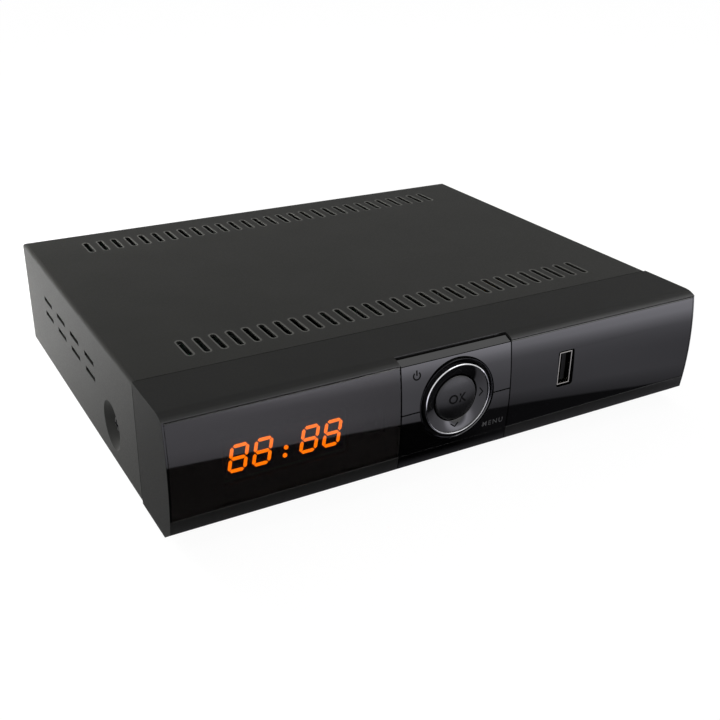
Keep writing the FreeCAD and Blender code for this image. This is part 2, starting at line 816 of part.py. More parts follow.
def key_frame():
    """Frame behind the plate keys, with the collar round the four-way ring and guides for the posts."""
    body = new_body("key_frame")
    half = cell["block_width"] / 2 + 3
    plate = new_sketch(body, "XZ", frame_plate_back)
    rectangle(plate, ring_x - half, case_bottom + 6.5, ring_x + half, case_bottom + 41.5)
    pad(body, plate, frame_plate_back - frame_plate_front, way=-1)

    # collar: its rim slopes down to the ring
    collar = new_sketch(body, "XY", ring_z, (ring_x, 0.0))
    crown = face_y(ring_z)
    inner, outer = cell["trim_radius"] + 0.4, cell["well_radius"] - 0.35
    outline(collar, [(inner, crown + 2.3), (outer, crown + 1.3), (outer, frame_plate_front + 0.5),
                     (inner, frame_plate_front + 0.5)])
    turn(body, collar)

    guides = new_sketch(body, "XZ", frame_plate_front - 1)
    polygon(guides, ring_x, ring_z, 2.7)
    for x, z in nav_points():
        centred(guides, x, z, 3.6, 3.6)
    for x in ("key_post_left", "key_post_right"):
        for z in (power_post_z, menu_post_z):
            centred(guides, cell[x], z, 4.4, 4.4)
    pocket(body, guides, 4.0)

    # stakes that hold the frame to the web, two above and two below the middle of the face
    stakes = new_sketch(body, "XZ", frame_plate_front + 0.2)
    stake, away = 1.2, 9.0
    for side in (-1, 1):
        for rise in (-away, away):
            polygon(stakes, ring_x + side * (half - 1.5), face_middle + rise, stake, sides=6)
    pad(body, stakes, frame_plate_front + 0.2 - face_y(face_middle + away + stake, web_inset), way=-1)


def nav_points():
    """Where the four-way ring presses: up, down, left and right."""
    reach = cell["nav_reach"]
    return [(ring_x, ring_z + reach), (ring_x, ring_z - reach), (ring_x - reach, ring_z),
            (ring_x + reach, ring_z)]


def nav_ring():
    """Dished four-way pad with four posts."""
    body = new_body("nav_ring")
    crown = face_y(ring_z)
    rim = cell["trim_radius"] - cell["trim_width"]
    hole = cell["pad_inner_radius"]
    section = new_sketch(body, "XY", ring_z, (ring_x, 0.0))
    outline(section, [(hole, crown + 1.3), (rim, crown + 0.2), (rim, crown + 3.0), (hole, crown + 3.0)])
    turn(body, section)
    posts = new_sketch(body, "XZ", post_tip)
    for x, z in nav_points():
        centred(posts, x, z, 2.2, 2.2)
    pad(body, posts, post_tip - crown - 2.0, way=-1)


def nav_trim_ring():
    """Bright ring round the pad. Its crest stands beside the pad and slopes away outwards."""
    body = new_body("nav_trim_ring")
    crown = face_y(ring_z)
    outer = cell["trim_radius"]
    inner = outer - cell["trim_width"]
    section = new_sketch(body, "XY", ring_z, (ring_x, 0.0))
    crest = crown - cell["trim_proud"]
    slope, bevel = 0.3, 0.15
    outline(section, [(inner, crest + bevel), (inner, crown + 2.6), (outer, crown + 2.6),
                      (outer, crest + slope), (inner + bevel + 0.05, crest), (inner + bevel, crest)])
    turn(body, section)


def nav_flex_ring():
    """Thin web ring that the pad rocks on: webs at the sides to the collar, at top and bottom to the pad."""
    body = new_body("nav_flex_ring")
    level = nav_pivot_y
    inner, outer = cell["nav_reach"] + 1.7, cell["trim_radius"]
    ring = new_sketch(body, "XZ", level - 0.5)
    polygon(ring, ring_x, ring_z, outer, sides=24)
    polygon(ring, ring_x, ring_z, inner, sides=24)
    pad(body, ring, 1.0)
    webs = new_sketch(body, "XZ", level + 0.4)
    for side in (-1, 1):
        centred(webs, ring_x + side * (outer + 0.05), ring_z, 0.6, 0.8)
        centred(webs, ring_x, ring_z + side * (inner - 0.15), 0.8, 0.4)
    pad(body, webs, 0.8, way=-1)


def ok_button():
    """Domed push button in the middle of the ring, with a stem to its switch."""
    body = new_body("ok_button")
    crown = face_y(ring_z)
    radius = cell["ok_radius"]
    section = new_sketch(body, "XY", ring_z, (ring_x, 0.0))
    outline(section, [(0.0, crown - 0.1), (radius - 0.4, crown + 0.9), (radius, crown + 1.4),
                      (radius, crown + 3.2), (0.0, crown + 3.2)], {0: 33.0})
    turn(body, section)
    stem = new_sketch(body, "XZ", post_tip)
    head = new_sketch(body, "XZ", post_tip)
    centred(stem, ring_x, ring_z, 3.4, 3.4)
    centred(head, ring_x, ring_z, 6.0, 3.4)
    pad(body, stem, post_tip - crown - 2.0, way=-1)
    pad(body, head, 0.4, way=-1)


# ---------------------------------------------------------------- front board and what it carries


def front_pcb():
    """Upright board behind the panel, cut out round the front socket."""
    body = new_body("front_pcb")
    board = new_sketch(body, "XZ", front_board)
    rectangle(board, -102.0, case_bottom + 5.5, 65.0, case_bottom + 40.0)
    pad(body, board, cell["board_thickness"])
    cuts = new_sketch(body, "XZ", front_board - 1)
    centred(cuts, cell["usb_centre"], usb_z, 6.8, 14.2)
    for x, rise in FRONT_BOARD_SCREWS:
        polygon(cuts, x, case_bottom + rise, 1.5, sides=6)
    pocket(body, cuts, 4.0)


def tact_switches():
    """Seven push switches: standby, menu, OK and the four ways of the ring."""
    spots = [(cell["key_post_left"], power_post_z), (cell["key_post_right"], menu_post_z), (ring_x, ring_z)]
    spots += nav_points()
    side, deep = 6.0, 3.5
    switches = []
    for x, z in spots:
        case = block((x - side / 2, front_board - deep, z - side / 2), (side, deep, side))
        stem = bar((x, switch_tip, z), 1.8, front_board - deep - switch_tip, "Y", sides=6)
        switches.append(fused([case, stem]))
    group(switches, "tact_switches")


def led_display():
    """Four-digit clock module and the holder that spaces it off the board."""
    x, z = cell["digits_centre"], digits_z
    wide, tall, deep = 42.0, 14.0, 7.2
    node(block((x - wide / 2, module_front, z - tall / 2), (wide, deep, tall)), "led_display")
    low = module_front + deep
    outer = block((x - wide / 2 - 1, low - 3, z - tall / 2 - 1), (wide + 2, front_board - low + 3, tall + 2))
    room = block((x - wide / 2 - 0.05, low - 4, z - tall / 2 - 0.05), (wide + 0.1, 4.0, tall + 0.1))
    node(without(outer, [room]), "display_holder")


def segment_bars(x, z):
    """The seven bars of a digit as (first end, last end) along their middle lines, before the slant."""
    left, right = x - cell["digit_width"] / 2, x + cell["digit_width"] / 2
    bar = cell["segment_width"] / 2
    left, right = left + bar, right - bar
    top, low = z + cell["digit_height"] / 2 - bar, z - cell["digit_height"] / 2 + bar
    corners = {"a": ((left, top), (right, top)), "b": ((right, z), (right, top)),
               "c": ((right, low), (right, z)), "d": ((left, low), (right, low)),
               "e": ((left, low), (left, z)), "f": ((left, z), (left, top)), "g": ((left, z), (right, z))}
    return corners.values()


def display_digits():
    """Lit bars of the four digits and the two dots between them, slanted to the right."""
    slant = 0.165
    half = cell["segment_width"] / 2
    gap = 0.28

    def slanted(x, z):
        return x + slant * (z - digits_z), z

    lit = []
    for place_in_row in (-2, -1, 1, 2):
        sketch = doc.addObject("Sketcher::SketchObject", "DigitSketch")
        x = cell["digits_centre"] + place_in_row * cell["digit_pitch"]
        for (x0, z0), (x1, z1) in segment_bars(x, digits_z):
            flat = abs(number(z1) - number(z0)) < 1e-6
            if flat:
                hexagon = [(x0 + gap, z0), (x0 + gap + half, z0 - half), (x1 - gap - half, z0 - half),
                           (x1 - gap, z0), (x1 - gap - half, z0 + half), (x0 + gap + half, z0 + half)]
            else:
                hexagon = [(x0, z0 + gap), (x0 + half, z0 + gap + half), (x0 + half, z1 - gap - half),
                           (x0, z1 - gap), (x0 - half, z1 - gap - half), (x0 - half, z0 + gap + half)]
            outline(sketch, [slanted(px, pz) for px, pz in hexagon])
        lit.append(raised(sketch))
    dots = doc.addObject("Sketcher::SketchObject", "DotSketch")
    for drop in (3.7, 0.85):
        polygon(dots, *slanted(cell["digits_centre"], digits_z - drop), 0.8)
    lit.append(raised(dots))
    group(lit, "display_digits")


def raised(sketch):
    """Raises closed outlines, drawn in X and Z, off the front of the display module."""
    sketch.Placement = FreeCAD.Placement(Vector(), FreeCAD.Rotation(Vector(1, 0, 0), 90))
    place(sketch, 0.0, module_front, 0.0)
    item = doc.addObject("Part::Extrusion", "Extrusion")
    item.Base = sketch
    item.DirMode = "Normal"
    item.LengthFwd = 0.25
    item.Solid = True
    return item


def ir_receiver():
    """Infrared eye with its domed lens."""
    case = block((IR_EYE_X - 3.5, front_board - 5.0, digits_z - 4), (7.0, 5.0, 8.0))
    lens = rod((IR_EYE_X - 2.6, front_board - 5.0, digits_z), 2.6, 5.2, "X")
    node(fused([case, lens]), "ir_receiver")


def usb_socket():
    """Upright front socket: steel shell, plastic tongue and four contacts."""
    x, z = cell["usb_centre"], usb_z
    mouth = face_y(z, 0.7)
    depth = front_board + cell["board_thickness"] - mouth
    shell = new_body("usb_shell")
    pad(shell, centred(new_sketch(shell, "XZ", mouth), x, z, 5.8, 13.2), depth)
    pocket(shell, centred(new_sketch(shell, "XZ", mouth - 1), x, z, 5.1, 12.5), depth - 0.4 + 1)
    tongue = new_body("usb_tongue")
    root_y = mouth + depth - 0.45
    pad(tongue, centred(new_sketch(tongue, "XZ", root_y), x, z, 5.0, 12.4), 3.0, way=-1)
    pad(tongue, centred(new_sketch(tongue, "XZ", root_y), x + 0.5, z, 1.9, 11.1), depth - 2.0, way=-1)
    strips = []
    for rise in (-3.5, -1.0, 1.0, 3.5):
        strips.append(block((x - 0.57, mouth + 2.2, z + rise - 0.5), (0.12, depth - 6.0, 1.0)))
    group(strips, "usb_contacts")


# ---------------------------------------------------------------- main board


def main_pcb():
    """Board under the decoder, the memory, the tuner and the rear sockets."""
    body = new_body("main_pcb")
    board = new_sketch(body, "XY", board_bottom)
    rectangle(board, cell["main_board_left"], cell["main_board_front"], cell["main_board_right"],
              rear_inside - 0.6)
    pad(body, board, cell["board_thickness"])
    holes = new_sketch(body, "XY", board_bottom - 1)
    for x, y in MAIN_BOARD_SCREWS:
        polygon(holes, x, y, 1.7, sides=6)
    pocket(body, holes, 4.0)


def power_pcb():
    """Power supply board, with the insulating film that lies under it."""
    body = new_body("power_pcb")
    board = new_sketch(body, "XY", board_bottom)
    rectangle(board, cell["power_board_left"], cell["main_board_front"], cell["power_board_right"],
              rear_inside - 0.6)
    pad(body, board, cell["board_thickness"])
    holes = new_sketch(body, "XY", board_bottom - 1)
    for x, y in POWER_BOARD_SCREWS:
        polygon(holes, x, y, 1.7, sides=6)
    pocket(body, holes, 4.0)
    film = block((cell["power_board_left"] - 2, cell["main_board_front"] + 12, case_bottom + metal),
                 (33.6, 112.0, 0.35))
    clear = [bar((x, y, case_bottom), 3.8, 3.0, sides=6) for x, y in POWER_BOARD_SCREWS]
    node(without(film, clear), "insulation_sheet")


def small_screw(seat, axis, reach):
    """A screw whose head stands on a seat. The shank reaches down the axis, or up it if reach is negative."""
    x, y, z = seat
    head, shank = 1.6, abs(reach)
    down = reach > 0
    base, tip = (0.0, -1.0 * shank) if down else (-1.0 * head, 0.0)
    if axis == "Z":
        ends = (x, y, z + base), (x, y, z + tip - 0.05)
    else:
        ends = (x, y + base, z), (x, y + tip - 0.05, z)
    return fused([bar(ends[0], 2.7, head, axis, sides=6), bar(ends[1], 1.2, shank + 0.1, axis, sides=6)])


def board_fasteners():
    """Press-in studs under the boards. Gives back the screws that hold the boards and the panel."""
    studs, screws = [], []
    for x, y in MAIN_BOARD_SCREWS + POWER_BOARD_SCREWS:
        stud = bar((x, y, case_bottom + metal), 3.2, cell["board_clearance"], sides=6)
        bore = bar((x, y, case_bottom + metal - 0.1), 1.35, cell["board_clearance"] + 0.2, sides=6)
        studs.append(without(stud, [bore]))
        screws.append(small_screw((x, y, board_top), "Z", 5.5))
    group(studs, "board_standoffs")
    behind = front_board + cell["board_thickness"]
    screws += [small_screw((x, behind, case_bottom + rise), "Y", 6.0) for x, rise in FRONT_BOARD_SCREWS]
    screws += [small_screw((x, panel_screw_y, case_bottom), "Z", -7.0) for x in PANEL_SCREWS_X]
    group(screws, "inner_screws")


def case_screws():
    """Screws in the side dimples and the rear lip."""
    floor_x = half_width - cell["dimple_depth"]
    head, shank = 1.8, 6.0

    def screw(head_start, shank_start, axis):
        return fused([bar(head_start, 2.9, head, axis, sides=12),
                      bar(shank_start, 1.2, shank + 0.1, axis, sides=6)])

    right = screw((floor_x, dimple_y, dimple_z), (floor_x - shank, dimple_y, dimple_z), "X")
    left = screw((-floor_x - head, dimple_y, dimple_z), (-floor_x - 0.1, dimple_y, dimple_z), "X")
    group([left, right], "side_screws")
    rear = [screw((x, back_plane, rear_screw_z), (x, back_plane - shank, rear_screw_z), "Y")
            for x in REAR_SCREWS_X]
    group(rear, "rear_screws")


def finned_sink(label, x, y, z, width, depth, height, fins):
    """Extruded aluminium heat sink: a base with a row of fins."""
    body = new_body(label, x, y, z)
    base = centred(new_sketch(body, "XY"), 0.0, 0.0, width, depth)
    pad(body, base, 2.0)
    first = rectangle(new_sketch(body, "XY", 1.9), -width / 2, -depth / 2, -width / 2 + 1.2, depth / 2)
    fin = pad(body, first, height - 1.9)
    row_of(body, [fin], "X_Axis", fins, (width - 1.2) / (fins - 1))


def chips():
    """Decoder chip under its heat sink, and the memory and flash chips round it."""
    node(block((-34.0, -6.0, board_top), (27.0, 27.0, 1.5)), "decoder_chip")
    finned_sink("chip_heatsink", -20.5, 7.5, board_top + 1.5, 28.0, 28.0, 10.0, 8)
    places = [(2.0, -4.0, 12.0, 9.0), (2.0, 10.0, 12.0, 9.0), (-58.0, 0.0, 14.0, 8.0), (22.0, 4.0, 8.0, 6.0)]
    group([block((x, y, board_top), (wide, deep, 1.1)) for x, y, wide, deep in places], "memory_chips")


def tuner():
    """Shielded tuner with its lid, and the two threaded aerial sockets on its rear."""
    left, right = cell["lnb_in_at"] - 10, cell["loop_out_at"] + 10
    deep, high = 34.0, 15.0
    low = board_top
    can = new_body("tuner_can")
    rear = rear_inside - 0.4
    pad(can, rectangle(new_sketch(can, "XY", low), left, rear - deep, right, rear), high)
    hollow(can, 0.5, lambda face: face.BoundBox.ZMin > number(low) + 1)
    lid = new_body("tuner_lid")
    pad(lid, rectangle(new_sketch(lid, "XY", low + high), left - 0.4, rear - deep, right + 0.4, rear), 0.5)
    vent = new_sketch(lid, "XY", low + high - 1)
    centred(vent, left + 8, rear_inside - 24.0, 2.0, 14.0)
    slot = pocket(lid, vent, 3.0)
    row_of(lid, [slot], "X_Axis", 6, 6.0)
    inserts = []
    for label, x in (("lnb_in_connector", cell["lnb_in_at"]), ("loop_out_connector", cell["loop_out_at"])):
        f_connector(label, x)
        core = bar((x, wall_back, tuner_z), 3.45, cell["jack_reach"], "Y", sides=12)
        contact = bar((x, wall_back + 1, tuner_z), 0.7, cell["jack_reach"], "Y", sides=6)
        inserts.append(without(core, [contact]))
    return inserts


def f_connector(label, x):
    """Threaded aerial socket with a hexagonal shoulder against the rear wall."""
    body = new_body(label, x, 0.0, tuner_z)
    start, end = rear_inside - 0.4, back_plane + cell["jack_reach"]
    pad(body, circle(new_sketch(body, "XZ", start), 0.0, 0.0, cell["f_radius"]), end - start)
    across_flats = 11.0
    corner = across_flats / 2 / math.cos(math.pi / 6)
    pad(body, polygon(new_sketch(body, "XZ", wall_back + 0.05), 0.0, 0.0, corner, sides=6), 2.2)
    bore = polygon(new_sketch(body, "XZ", wall_back), 0.0, 0.0, 3.65, sides=12)
    pocket(body, bore, end - wall_back + 1)


# ---------------------------------------------------------------- rear sockets


def hdmi_socket():
    """Digital picture socket: a shell with chamfered lower corners round a flat tongue."""
    x, z = cell["hdmi_at"], hdmi_z
    depth = 12.0
    front = wall_back + 0.8 - depth
    shell = new_body("hdmi_shell", x, 0.0, z)

    def d_shape(sketch, grow):
        wide, tall, cut = 7.0 + grow, 2.3 + grow, 2.0
        return outline(sketch, [(-wide, tall), (-wide, cut - tall), (cut - wide, -tall), (wide - cut, -tall),
                                (wide, cut - tall), (wide, tall)])

    pad(shell, d_shape(new_sketch(shell, "XZ", front), 0.45), depth)
    pocket(shell, d_shape(new_sketch(shell, "XZ", front + depth + 1), 0.0), depth + 0.4, way=-1)
    tongue = block((x - 5.6, front + 0.6, z - 0.2), (11.2, depth - 2.6, 1.1))
    heel = block((x - 6.6, front + 0.65, z - 0.3), (13.2, 2.4, 2.5))
    node(fused([tongue, heel]), "hdmi_tongue")


def scart_socket():
    """Twenty-one way socket: a slanted shroud round a face with two rows of slots."""
    body = new_body("scart_socket", cell["scart_at"], 0.0, socket_z)
    depth = 15.0
    rear = wall_back + 1.4
    shroud = new_sketch(body, "XZ", rear - depth)
    outline(shroud, [(-23.8, -7.0), (23.8, -7.0), (23.8, 7.0), (-19.5, 7.0), (-23.8, 2.7)])
    pad(body, shroud, depth)
    recess = new_sketch(body, "XZ", rear + 1)
    outline(recess, [(-22.6, -5.8), (22.6, -5.8), (22.6, 5.8), (-19.0, 5.8), (-22.6, 2.2)])
    pocket(body, recess, 3.2, way=-1)
    slots = new_sketch(body, "XZ", rear)
    for rise in (-3.0, 3.0):
        centred(slots, -17.1, rise, 1.3, 4.4)
    pair = pocket(body, slots, 9.0, way=-1)
    row_of(body, [pair], "X_Axis", 10, 3.8)


def av_jacks(inserts):
    """Block of three round sockets, with a coloured collar, a bright sleeve and an insulating core each."""
    x, z = cell["av_at"], socket_z
    half = cell["av_pitch"] * 1.5
    base, collar, reach = rear_inside - 0.15, 3.2, back_plane + 9.0
    node(block((x - half, base - 12.05, board_top), (2 * half, 12.0, 19.0)), "av_jack_block")
    places = [x + step * cell["av_pitch"] for step in (-1, 0, 1)]
    for label, at in zip(("jack_collar_video", "jack_collar_left", "jack_collar_right"), places):
        body = new_body(label, at, 0.0, z)
        ring = new_sketch(body, "XZ", base)
        polygon(ring, 0.0, 0.0, 5.6, sides=18)
        polygon(ring, 0.0, 0.0, 4.85, sides=12)
        pad(body, ring, collar)
    sleeves, cores = [], []
    for at in places:
        foot = bar((at, base, z), 4.6, collar, "Y", sides=12)
        tube = rod((at, base + collar - 0.5, z), cell["av_radius"], reach - base - collar + 0.5, "Y")
        room = bar((at, base - 1, z), 3.5, 20.0, "Y", sides=12)
        sleeves.append(without(fused([foot, tube]), [room]))
        core = bar((at, base, z), 3.3, reach - base - 0.6, "Y", sides=12)
        contact = bar((at, base + 1, z), 1.65, 20.0, "Y", sides=6)
        cores.append(without(core, [contact]))
    group(sleeves, "jack_sleeves")
    group(inserts + cores, "socket_inserts")


def mains_inlet():
    """Two-pin mains inlet with a figure-of-eight mouth."""
    body = new_body("mains_inlet", cell["inlet_at"], 0.0, socket_z)
    rear = wall_back + 2.0
    depth = 20.0
    pad(body, centred(new_sketch(body, "XZ", rear - depth), 0.0, 0.0, 22.0, 13.8), depth)
    pad(body, centred(new_sketch(body, "XZ", wall_back + 0.05), 0.0, 0.0, 25.0, 16.4), 1.95)
    deep = 14.5
    mouth = punched_slot(new_sketch(body, "XZ", rear + 1), 0.0, 0.0, 17.6, 9.0, upright=False)
    pocket(body, mouth, deep + 1, way=-1)
    fillet(body, 2.0, lambda edge: runs_along(edge, "y") and edge.BoundBox.XLength < 0.01
           and abs(edge.BoundBox.XMin) > 12)
    pins = [bar((cell["inlet_at"] + side, rear - deep, socket_z), 1.2, 10.5, "Y") for side in (-4.3, 4.3)]
    group(pins, "inlet_pins")


# ---------------------------------------------------------------- power supply parts


def power_parts():
    """Transformer, capacitors, line filter, fuse and heat sink on the power board."""
    top = board_top
    # ferrite core halves round a wound bobbin
    core = block((76.0, 6.0, top + 2), (21.0, 17.0, 18.0))
    windows = (80.0, 89.4)
    room = [block((x, 5.0, top + 5.5), (3.6, 19.0, 11.0)) for x in windows]
    node(without(core, room), "transformer_core")
    coil = [block((x + 0.1, 2.5, top + 5.6), (3.4, 24.0, 10.8)) for x in windows]
    for y in (2.5, 23.2):
        coil.append(block((80.1, y, top + 5.6), (12.8, 3.3, 10.8)))
        coil.append(block((78.0, y, top), (17.0, 3.3, 5.7)))
    node(fused(coil), "transformer_winding")
    node(bar((85.0, 41.0, top), 9.0, 25.0, sides=16), "bulk_capacitor")
    spots = [(80.0, -12.0), (92.0, -12.0), (80.0, -26.0)]
    group([bar((x, y, top), 5.0, 16.0, sides=12) for x, y in spots], "output_capacitors")
    choke_x, choke_y = 94.0, 58.0
    outer = bar((choke_x, choke_y, top), 8.4, 6.5, sides=12)
    node(without(outer, [bar((choke_x, choke_y, top - 1), 3.6, 9.0, sides=12)]), "line_filter")
    tube = bar((75.0, 46.0, top + 3.2), 2.6, 20.0, "Y")
    clips = [block((72.2, y, top), (5.6, 1.0, 6.4)) for y in (48.0, 63.0)]
    node(fused([tube, *clips]), "mains_fuse")
    finned_sink("power_heatsink", 99.5, 36.5, top, 5.8, 24.0, 22.0, 2)


# ---------------------------------------------------------------- internal leads


def leads():
    """Flat lead from the main board to the front board, and one from the power board."""
    rear_of_front = front_board + cell["board_thickness"]
    thick = 0.8
    low_z = board_top + 6.0
    high_z = case_bottom + 24.0
    start_y = rear_of_front + 6.0
    end_y = cell["main_board_front"] + 6.0
    bend = 4.0
    lead = new_body("ribbon_lead")
    path = new_sketch(lead, "YZ", -30.0)
    outline(path, [(start_y, high_z), (end_y - bend, high_z), (end_y, high_z - bend), (end_y, low_z),
                   (end_y + thick, low_z), (end_y + thick, high_z - bend),
                   (end_y - bend, high_z + thick), (start_y, high_z + thick)], {1: -bend, 5: bend + thick})
    pad(lead, path, 16.0)
    headers = [block((-32.0, rear_of_front, high_z - 2.2), (20.0, 6.0, 5.2)),
               block((-32.0, end_y - 2.2, board_top), (20.0, 5.2, 6.0)),
               block((58.0, -12.0, board_top), (6.0, 14.0, 6.0)),
               block((72.0, -4.0, board_top), (5.0, 6.0, 6.0))]
    group(headers, "lead_headers")
    bridge = new_body("power_lead")
    arch = new_sketch(bridge, "XZ", -3.5)
    over = board_top + 13.0
    outline(arch, [(61.0, low_z), (61.0, over - bend), (61.0 + bend, over), (74.5 - bend, over),
                   (74.5, over - bend), (74.5, low_z), (73.7, low_z), (73.7, over - bend),
                   (74.5 - bend, over - thick), (61.0 + bend, over - thick), (61.8, over - bend),
                   (61.8, low_z)],
            {1: -bend, 3: -bend, 7: bend - thick, 9: bend - thick})
    pad(bridge, arch, 5.0)


# ---------------------------------------------------------------- build, check and write


def check():
    """Stops if any object failed, or a sub-part has no sound solid."""
    doc.recompute()
    for item in doc.Objects:
        if "Invalid" in item.State or "Error" in item.State:
            raise RuntimeError(f"{item.Label} ({item.Name}) failed: {item.State}")
    labels = [item.Label for item in NODES]
    if len(set(labels)) != len(labels):
        raise RuntimeError("two sub-parts share a label")
    for item in NODES:
        shape = item.Shape
        if shape.isNull() or not shape.isValid() or not shape.Solids or shape.Volume <= 0:
            raise RuntimeError(f"{item.Label} has no valid solid")


def write():
    os.makedirs("parts", exist_ok=True)
    for item in NODES:
        item.Shape.exportStep(os.path.join("parts", item.Label + ".step"))
    total = NODES[0].Shape.BoundBox
    for item in NODES[1:]:
        total.add(item.Shape.BoundBox)
    print(f"{len(NODES)} sub-parts, box {total}")


top_cover()
base_tray()
feet()
front_bezel()
gloss_faces()
power_key()
menu_key()
key_frame()
nav_ring()
nav_trim_ring()
nav_flex_ring()
ok_button()
front_pcb()
tact_switches()
led_display()
display_digits()
ir_receiver()
usb_socket()
main_pcb()
power_pcb()
board_fasteners()
case_screws()
chips()
aerial_inserts = tuner()
hdmi_socket()
scart_socket()
av_jacks(aerial_inserts)
mains_inlet()
power_parts()
leads()
check()
write()
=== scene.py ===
"""Satellite television receiver: the finishes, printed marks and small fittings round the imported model.

Lengths are millimetres up to the moment when a mesh is handed to Blender, which gets metres. X runs to the
right along the front, Y from the front to the rear, Z up.
"""

import json
import math

import bmesh
import bpy
from bpy.props import FloatProperty, FloatVectorProperty, IntProperty, PointerProperty
from mathutils import Matrix, Vector


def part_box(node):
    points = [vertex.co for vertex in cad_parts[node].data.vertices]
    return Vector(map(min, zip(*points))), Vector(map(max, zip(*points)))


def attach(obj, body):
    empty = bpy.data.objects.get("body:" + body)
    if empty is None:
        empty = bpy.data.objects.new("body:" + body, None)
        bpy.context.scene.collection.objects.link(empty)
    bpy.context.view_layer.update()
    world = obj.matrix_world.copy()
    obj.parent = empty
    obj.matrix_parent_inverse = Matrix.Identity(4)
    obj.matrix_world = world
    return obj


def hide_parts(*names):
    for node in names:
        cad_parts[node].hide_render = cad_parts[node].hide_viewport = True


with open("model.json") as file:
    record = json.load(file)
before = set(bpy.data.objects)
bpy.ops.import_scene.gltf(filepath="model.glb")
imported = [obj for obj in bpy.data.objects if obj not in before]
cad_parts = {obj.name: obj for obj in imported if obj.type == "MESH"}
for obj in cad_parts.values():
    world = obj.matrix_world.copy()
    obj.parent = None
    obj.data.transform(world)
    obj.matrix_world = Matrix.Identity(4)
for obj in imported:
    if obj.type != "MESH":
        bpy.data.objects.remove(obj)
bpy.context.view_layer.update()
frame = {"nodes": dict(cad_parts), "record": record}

bl_info = {
    "name": "Satellite receiver looks",
    "version": (1, 0, 0),
    "blender": (4, 5, 0),
    "location": "3D View > Sidebar > Receiver",
    "description": "Finishes and small fittings for a packed model of a satellite television receiver",
    "category": "Object",
}

MM = 0.001
FULL_TURN = 2 * math.pi
WHITE = (1, 1, 1, 1)

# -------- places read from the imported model


def span(node):
    """Lowest and highest corner of a node, in millimetres."""
    low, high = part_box(node)
    return low / MM, high / MM


def middle(node):
    low, high = span(node)
    return (low + high) / 2


def rearward(node):
    """A point of the line that runs to the rear through the middle of a node."""
    low, high = span(node)
    return (low.x + high.x) / 2, 0.0, (low.z + high.z) / 2


PANEL_LOW, PANEL_HIGH = span("front_bezel")
LENS_LOW, LENS_HIGH = span("display_lens")
RING_LOW, RING_HIGH = span("nav_trim_ring")
COVER_TOP = span("top_cover")[1].z
REAR_WALL = span("base_tray")[1].y

AERIALS = ("lnb_in_connector", "loop_out_connector")
COLLARS = ("jack_collar_video", "jack_collar_left", "jack_collar_right")

FACE_RADIUS = 125.0
FACE_APEX = PANEL_LOW.y
FACE_MIDDLE = (PANEL_LOW.z + PANEL_HIGH.z) / 2
SKIN = 1.8                # thickness of the gloss faces and the plate keys

RING_X, _, RING_Z = RING_AXIS = rearward("nav_trim_ring")
PAD_HOLE = 9.0            # radius of the hole in the pad
PAD_RIM = (RING_HIGH.x - RING_LOW.x) / 2 - 0.55
WELL_RADIUS = 15.7        # radius of the hole in the plate keys
PRINT_RISE = 0.02         # how far the back of a printed mark stands before its surface

# vent slots in the top: spacing, length, width, number in a row and the two rows' depth
SLOT_PITCH, SLOT_LENGTH, SLOT_WIDTH, SLOT_COUNT = 6.16, 12.9, 2.2, 29
SLOT_ROWS = (-49.484, 66.516)


def face_y(z, inset=0.0):
    """Depth of the convex front at a height, or of the surface an inset behind it."""
    radius = FACE_RADIUS - inset
    return FACE_APEX + FACE_RADIUS - math.sqrt(radius ** 2 - (z - FACE_MIDDLE) ** 2)


def face_arc(low, high, inset=0.0, steps=28):
    """Points (y, z) along the convex front from one height to another."""
    heights = [low + (high - low) * i / steps for i in range(steps + 1)]
    return [(face_y(z, inset), z) for z in heights]


CROWN = face_y(RING_Z)

# -------- what a user can change


def linear(colour):
    """Linear red, green, blue and alpha of an sRGB hex value."""
    channels = [((colour >> shift) & 255) / 255 for shift in (16, 8, 0)]
    return [c / 12.92 if c <= 0.04045 else ((c + 0.055) / 1.055) ** 2.4 for c in channels] + [1.0]


def colour_property(name, description, value):
    return FloatVectorProperty(name=name, description=description, subtype="COLOR", size=3, min=0.0, max=1.0,
                               default=linear(value)[:3])


def length_property(name, description, value, least, most):
    """A length whose values are given in millimetres."""
    return FloatProperty(name=name, description=description, default=value * MM, min=least * MM,
                         max=most * MM, unit="LENGTH", subtype="DISTANCE")


def level_property(name, description, value, most, unit="NONE"):
    return FloatProperty(name=name, description=description, default=value, min=0.0, max=most, unit=unit)


class ReceiverFinish(bpy.types.PropertyGroup):
    """Colours of the receiver."""

    cover: colour_property("Cover", "Powder coat on the steel cover", 0x373735)
    panel: colour_property("Panel", "Moulded panel round the gloss faces", 0x2E2E2D)
    gloss: colour_property("Gloss", "Polished faces and keys", 0x0A0A0B)
    button: colour_property("Button", "Lacquer on the centre button", 0x161617)
    print_dark: colour_property("Dark print", "Symbol on the standby key", 0x0B0B0B)
    print_pale: colour_property("Pale print", "Words on the lower key", 0x6E6E70)
    lit: colour_property("Lit segments", "Light of the clock", 0xFF7A00)


class ReceiverSizes(bpy.types.PropertyGroup):
    """Sizes of the details that the looks add."""

    edge: length_property("Sheet edge", "Rounding of punched and folded edges", 0.2, 0.0, 1.0)
    moulded_edge: length_property("Moulded edge", "Rounding of moulded edges", 0.25, 0.0, 1.0)
    thread_pitch: length_property("Thread pitch", "Pitch of the aerial sockets' thread", 0.794, 0.3, 2.0)
    print_height: length_property("Print height", "Height of the word on the lower key", 2.0, 0.5, 6.0)
    print_relief: length_property("Print relief", "Thickness of printed marks", 0.03, 0.0, 0.2)
    round_steps: IntProperty(name="Round steps", description="Steps of a full turn", default=96, min=24, max=256)


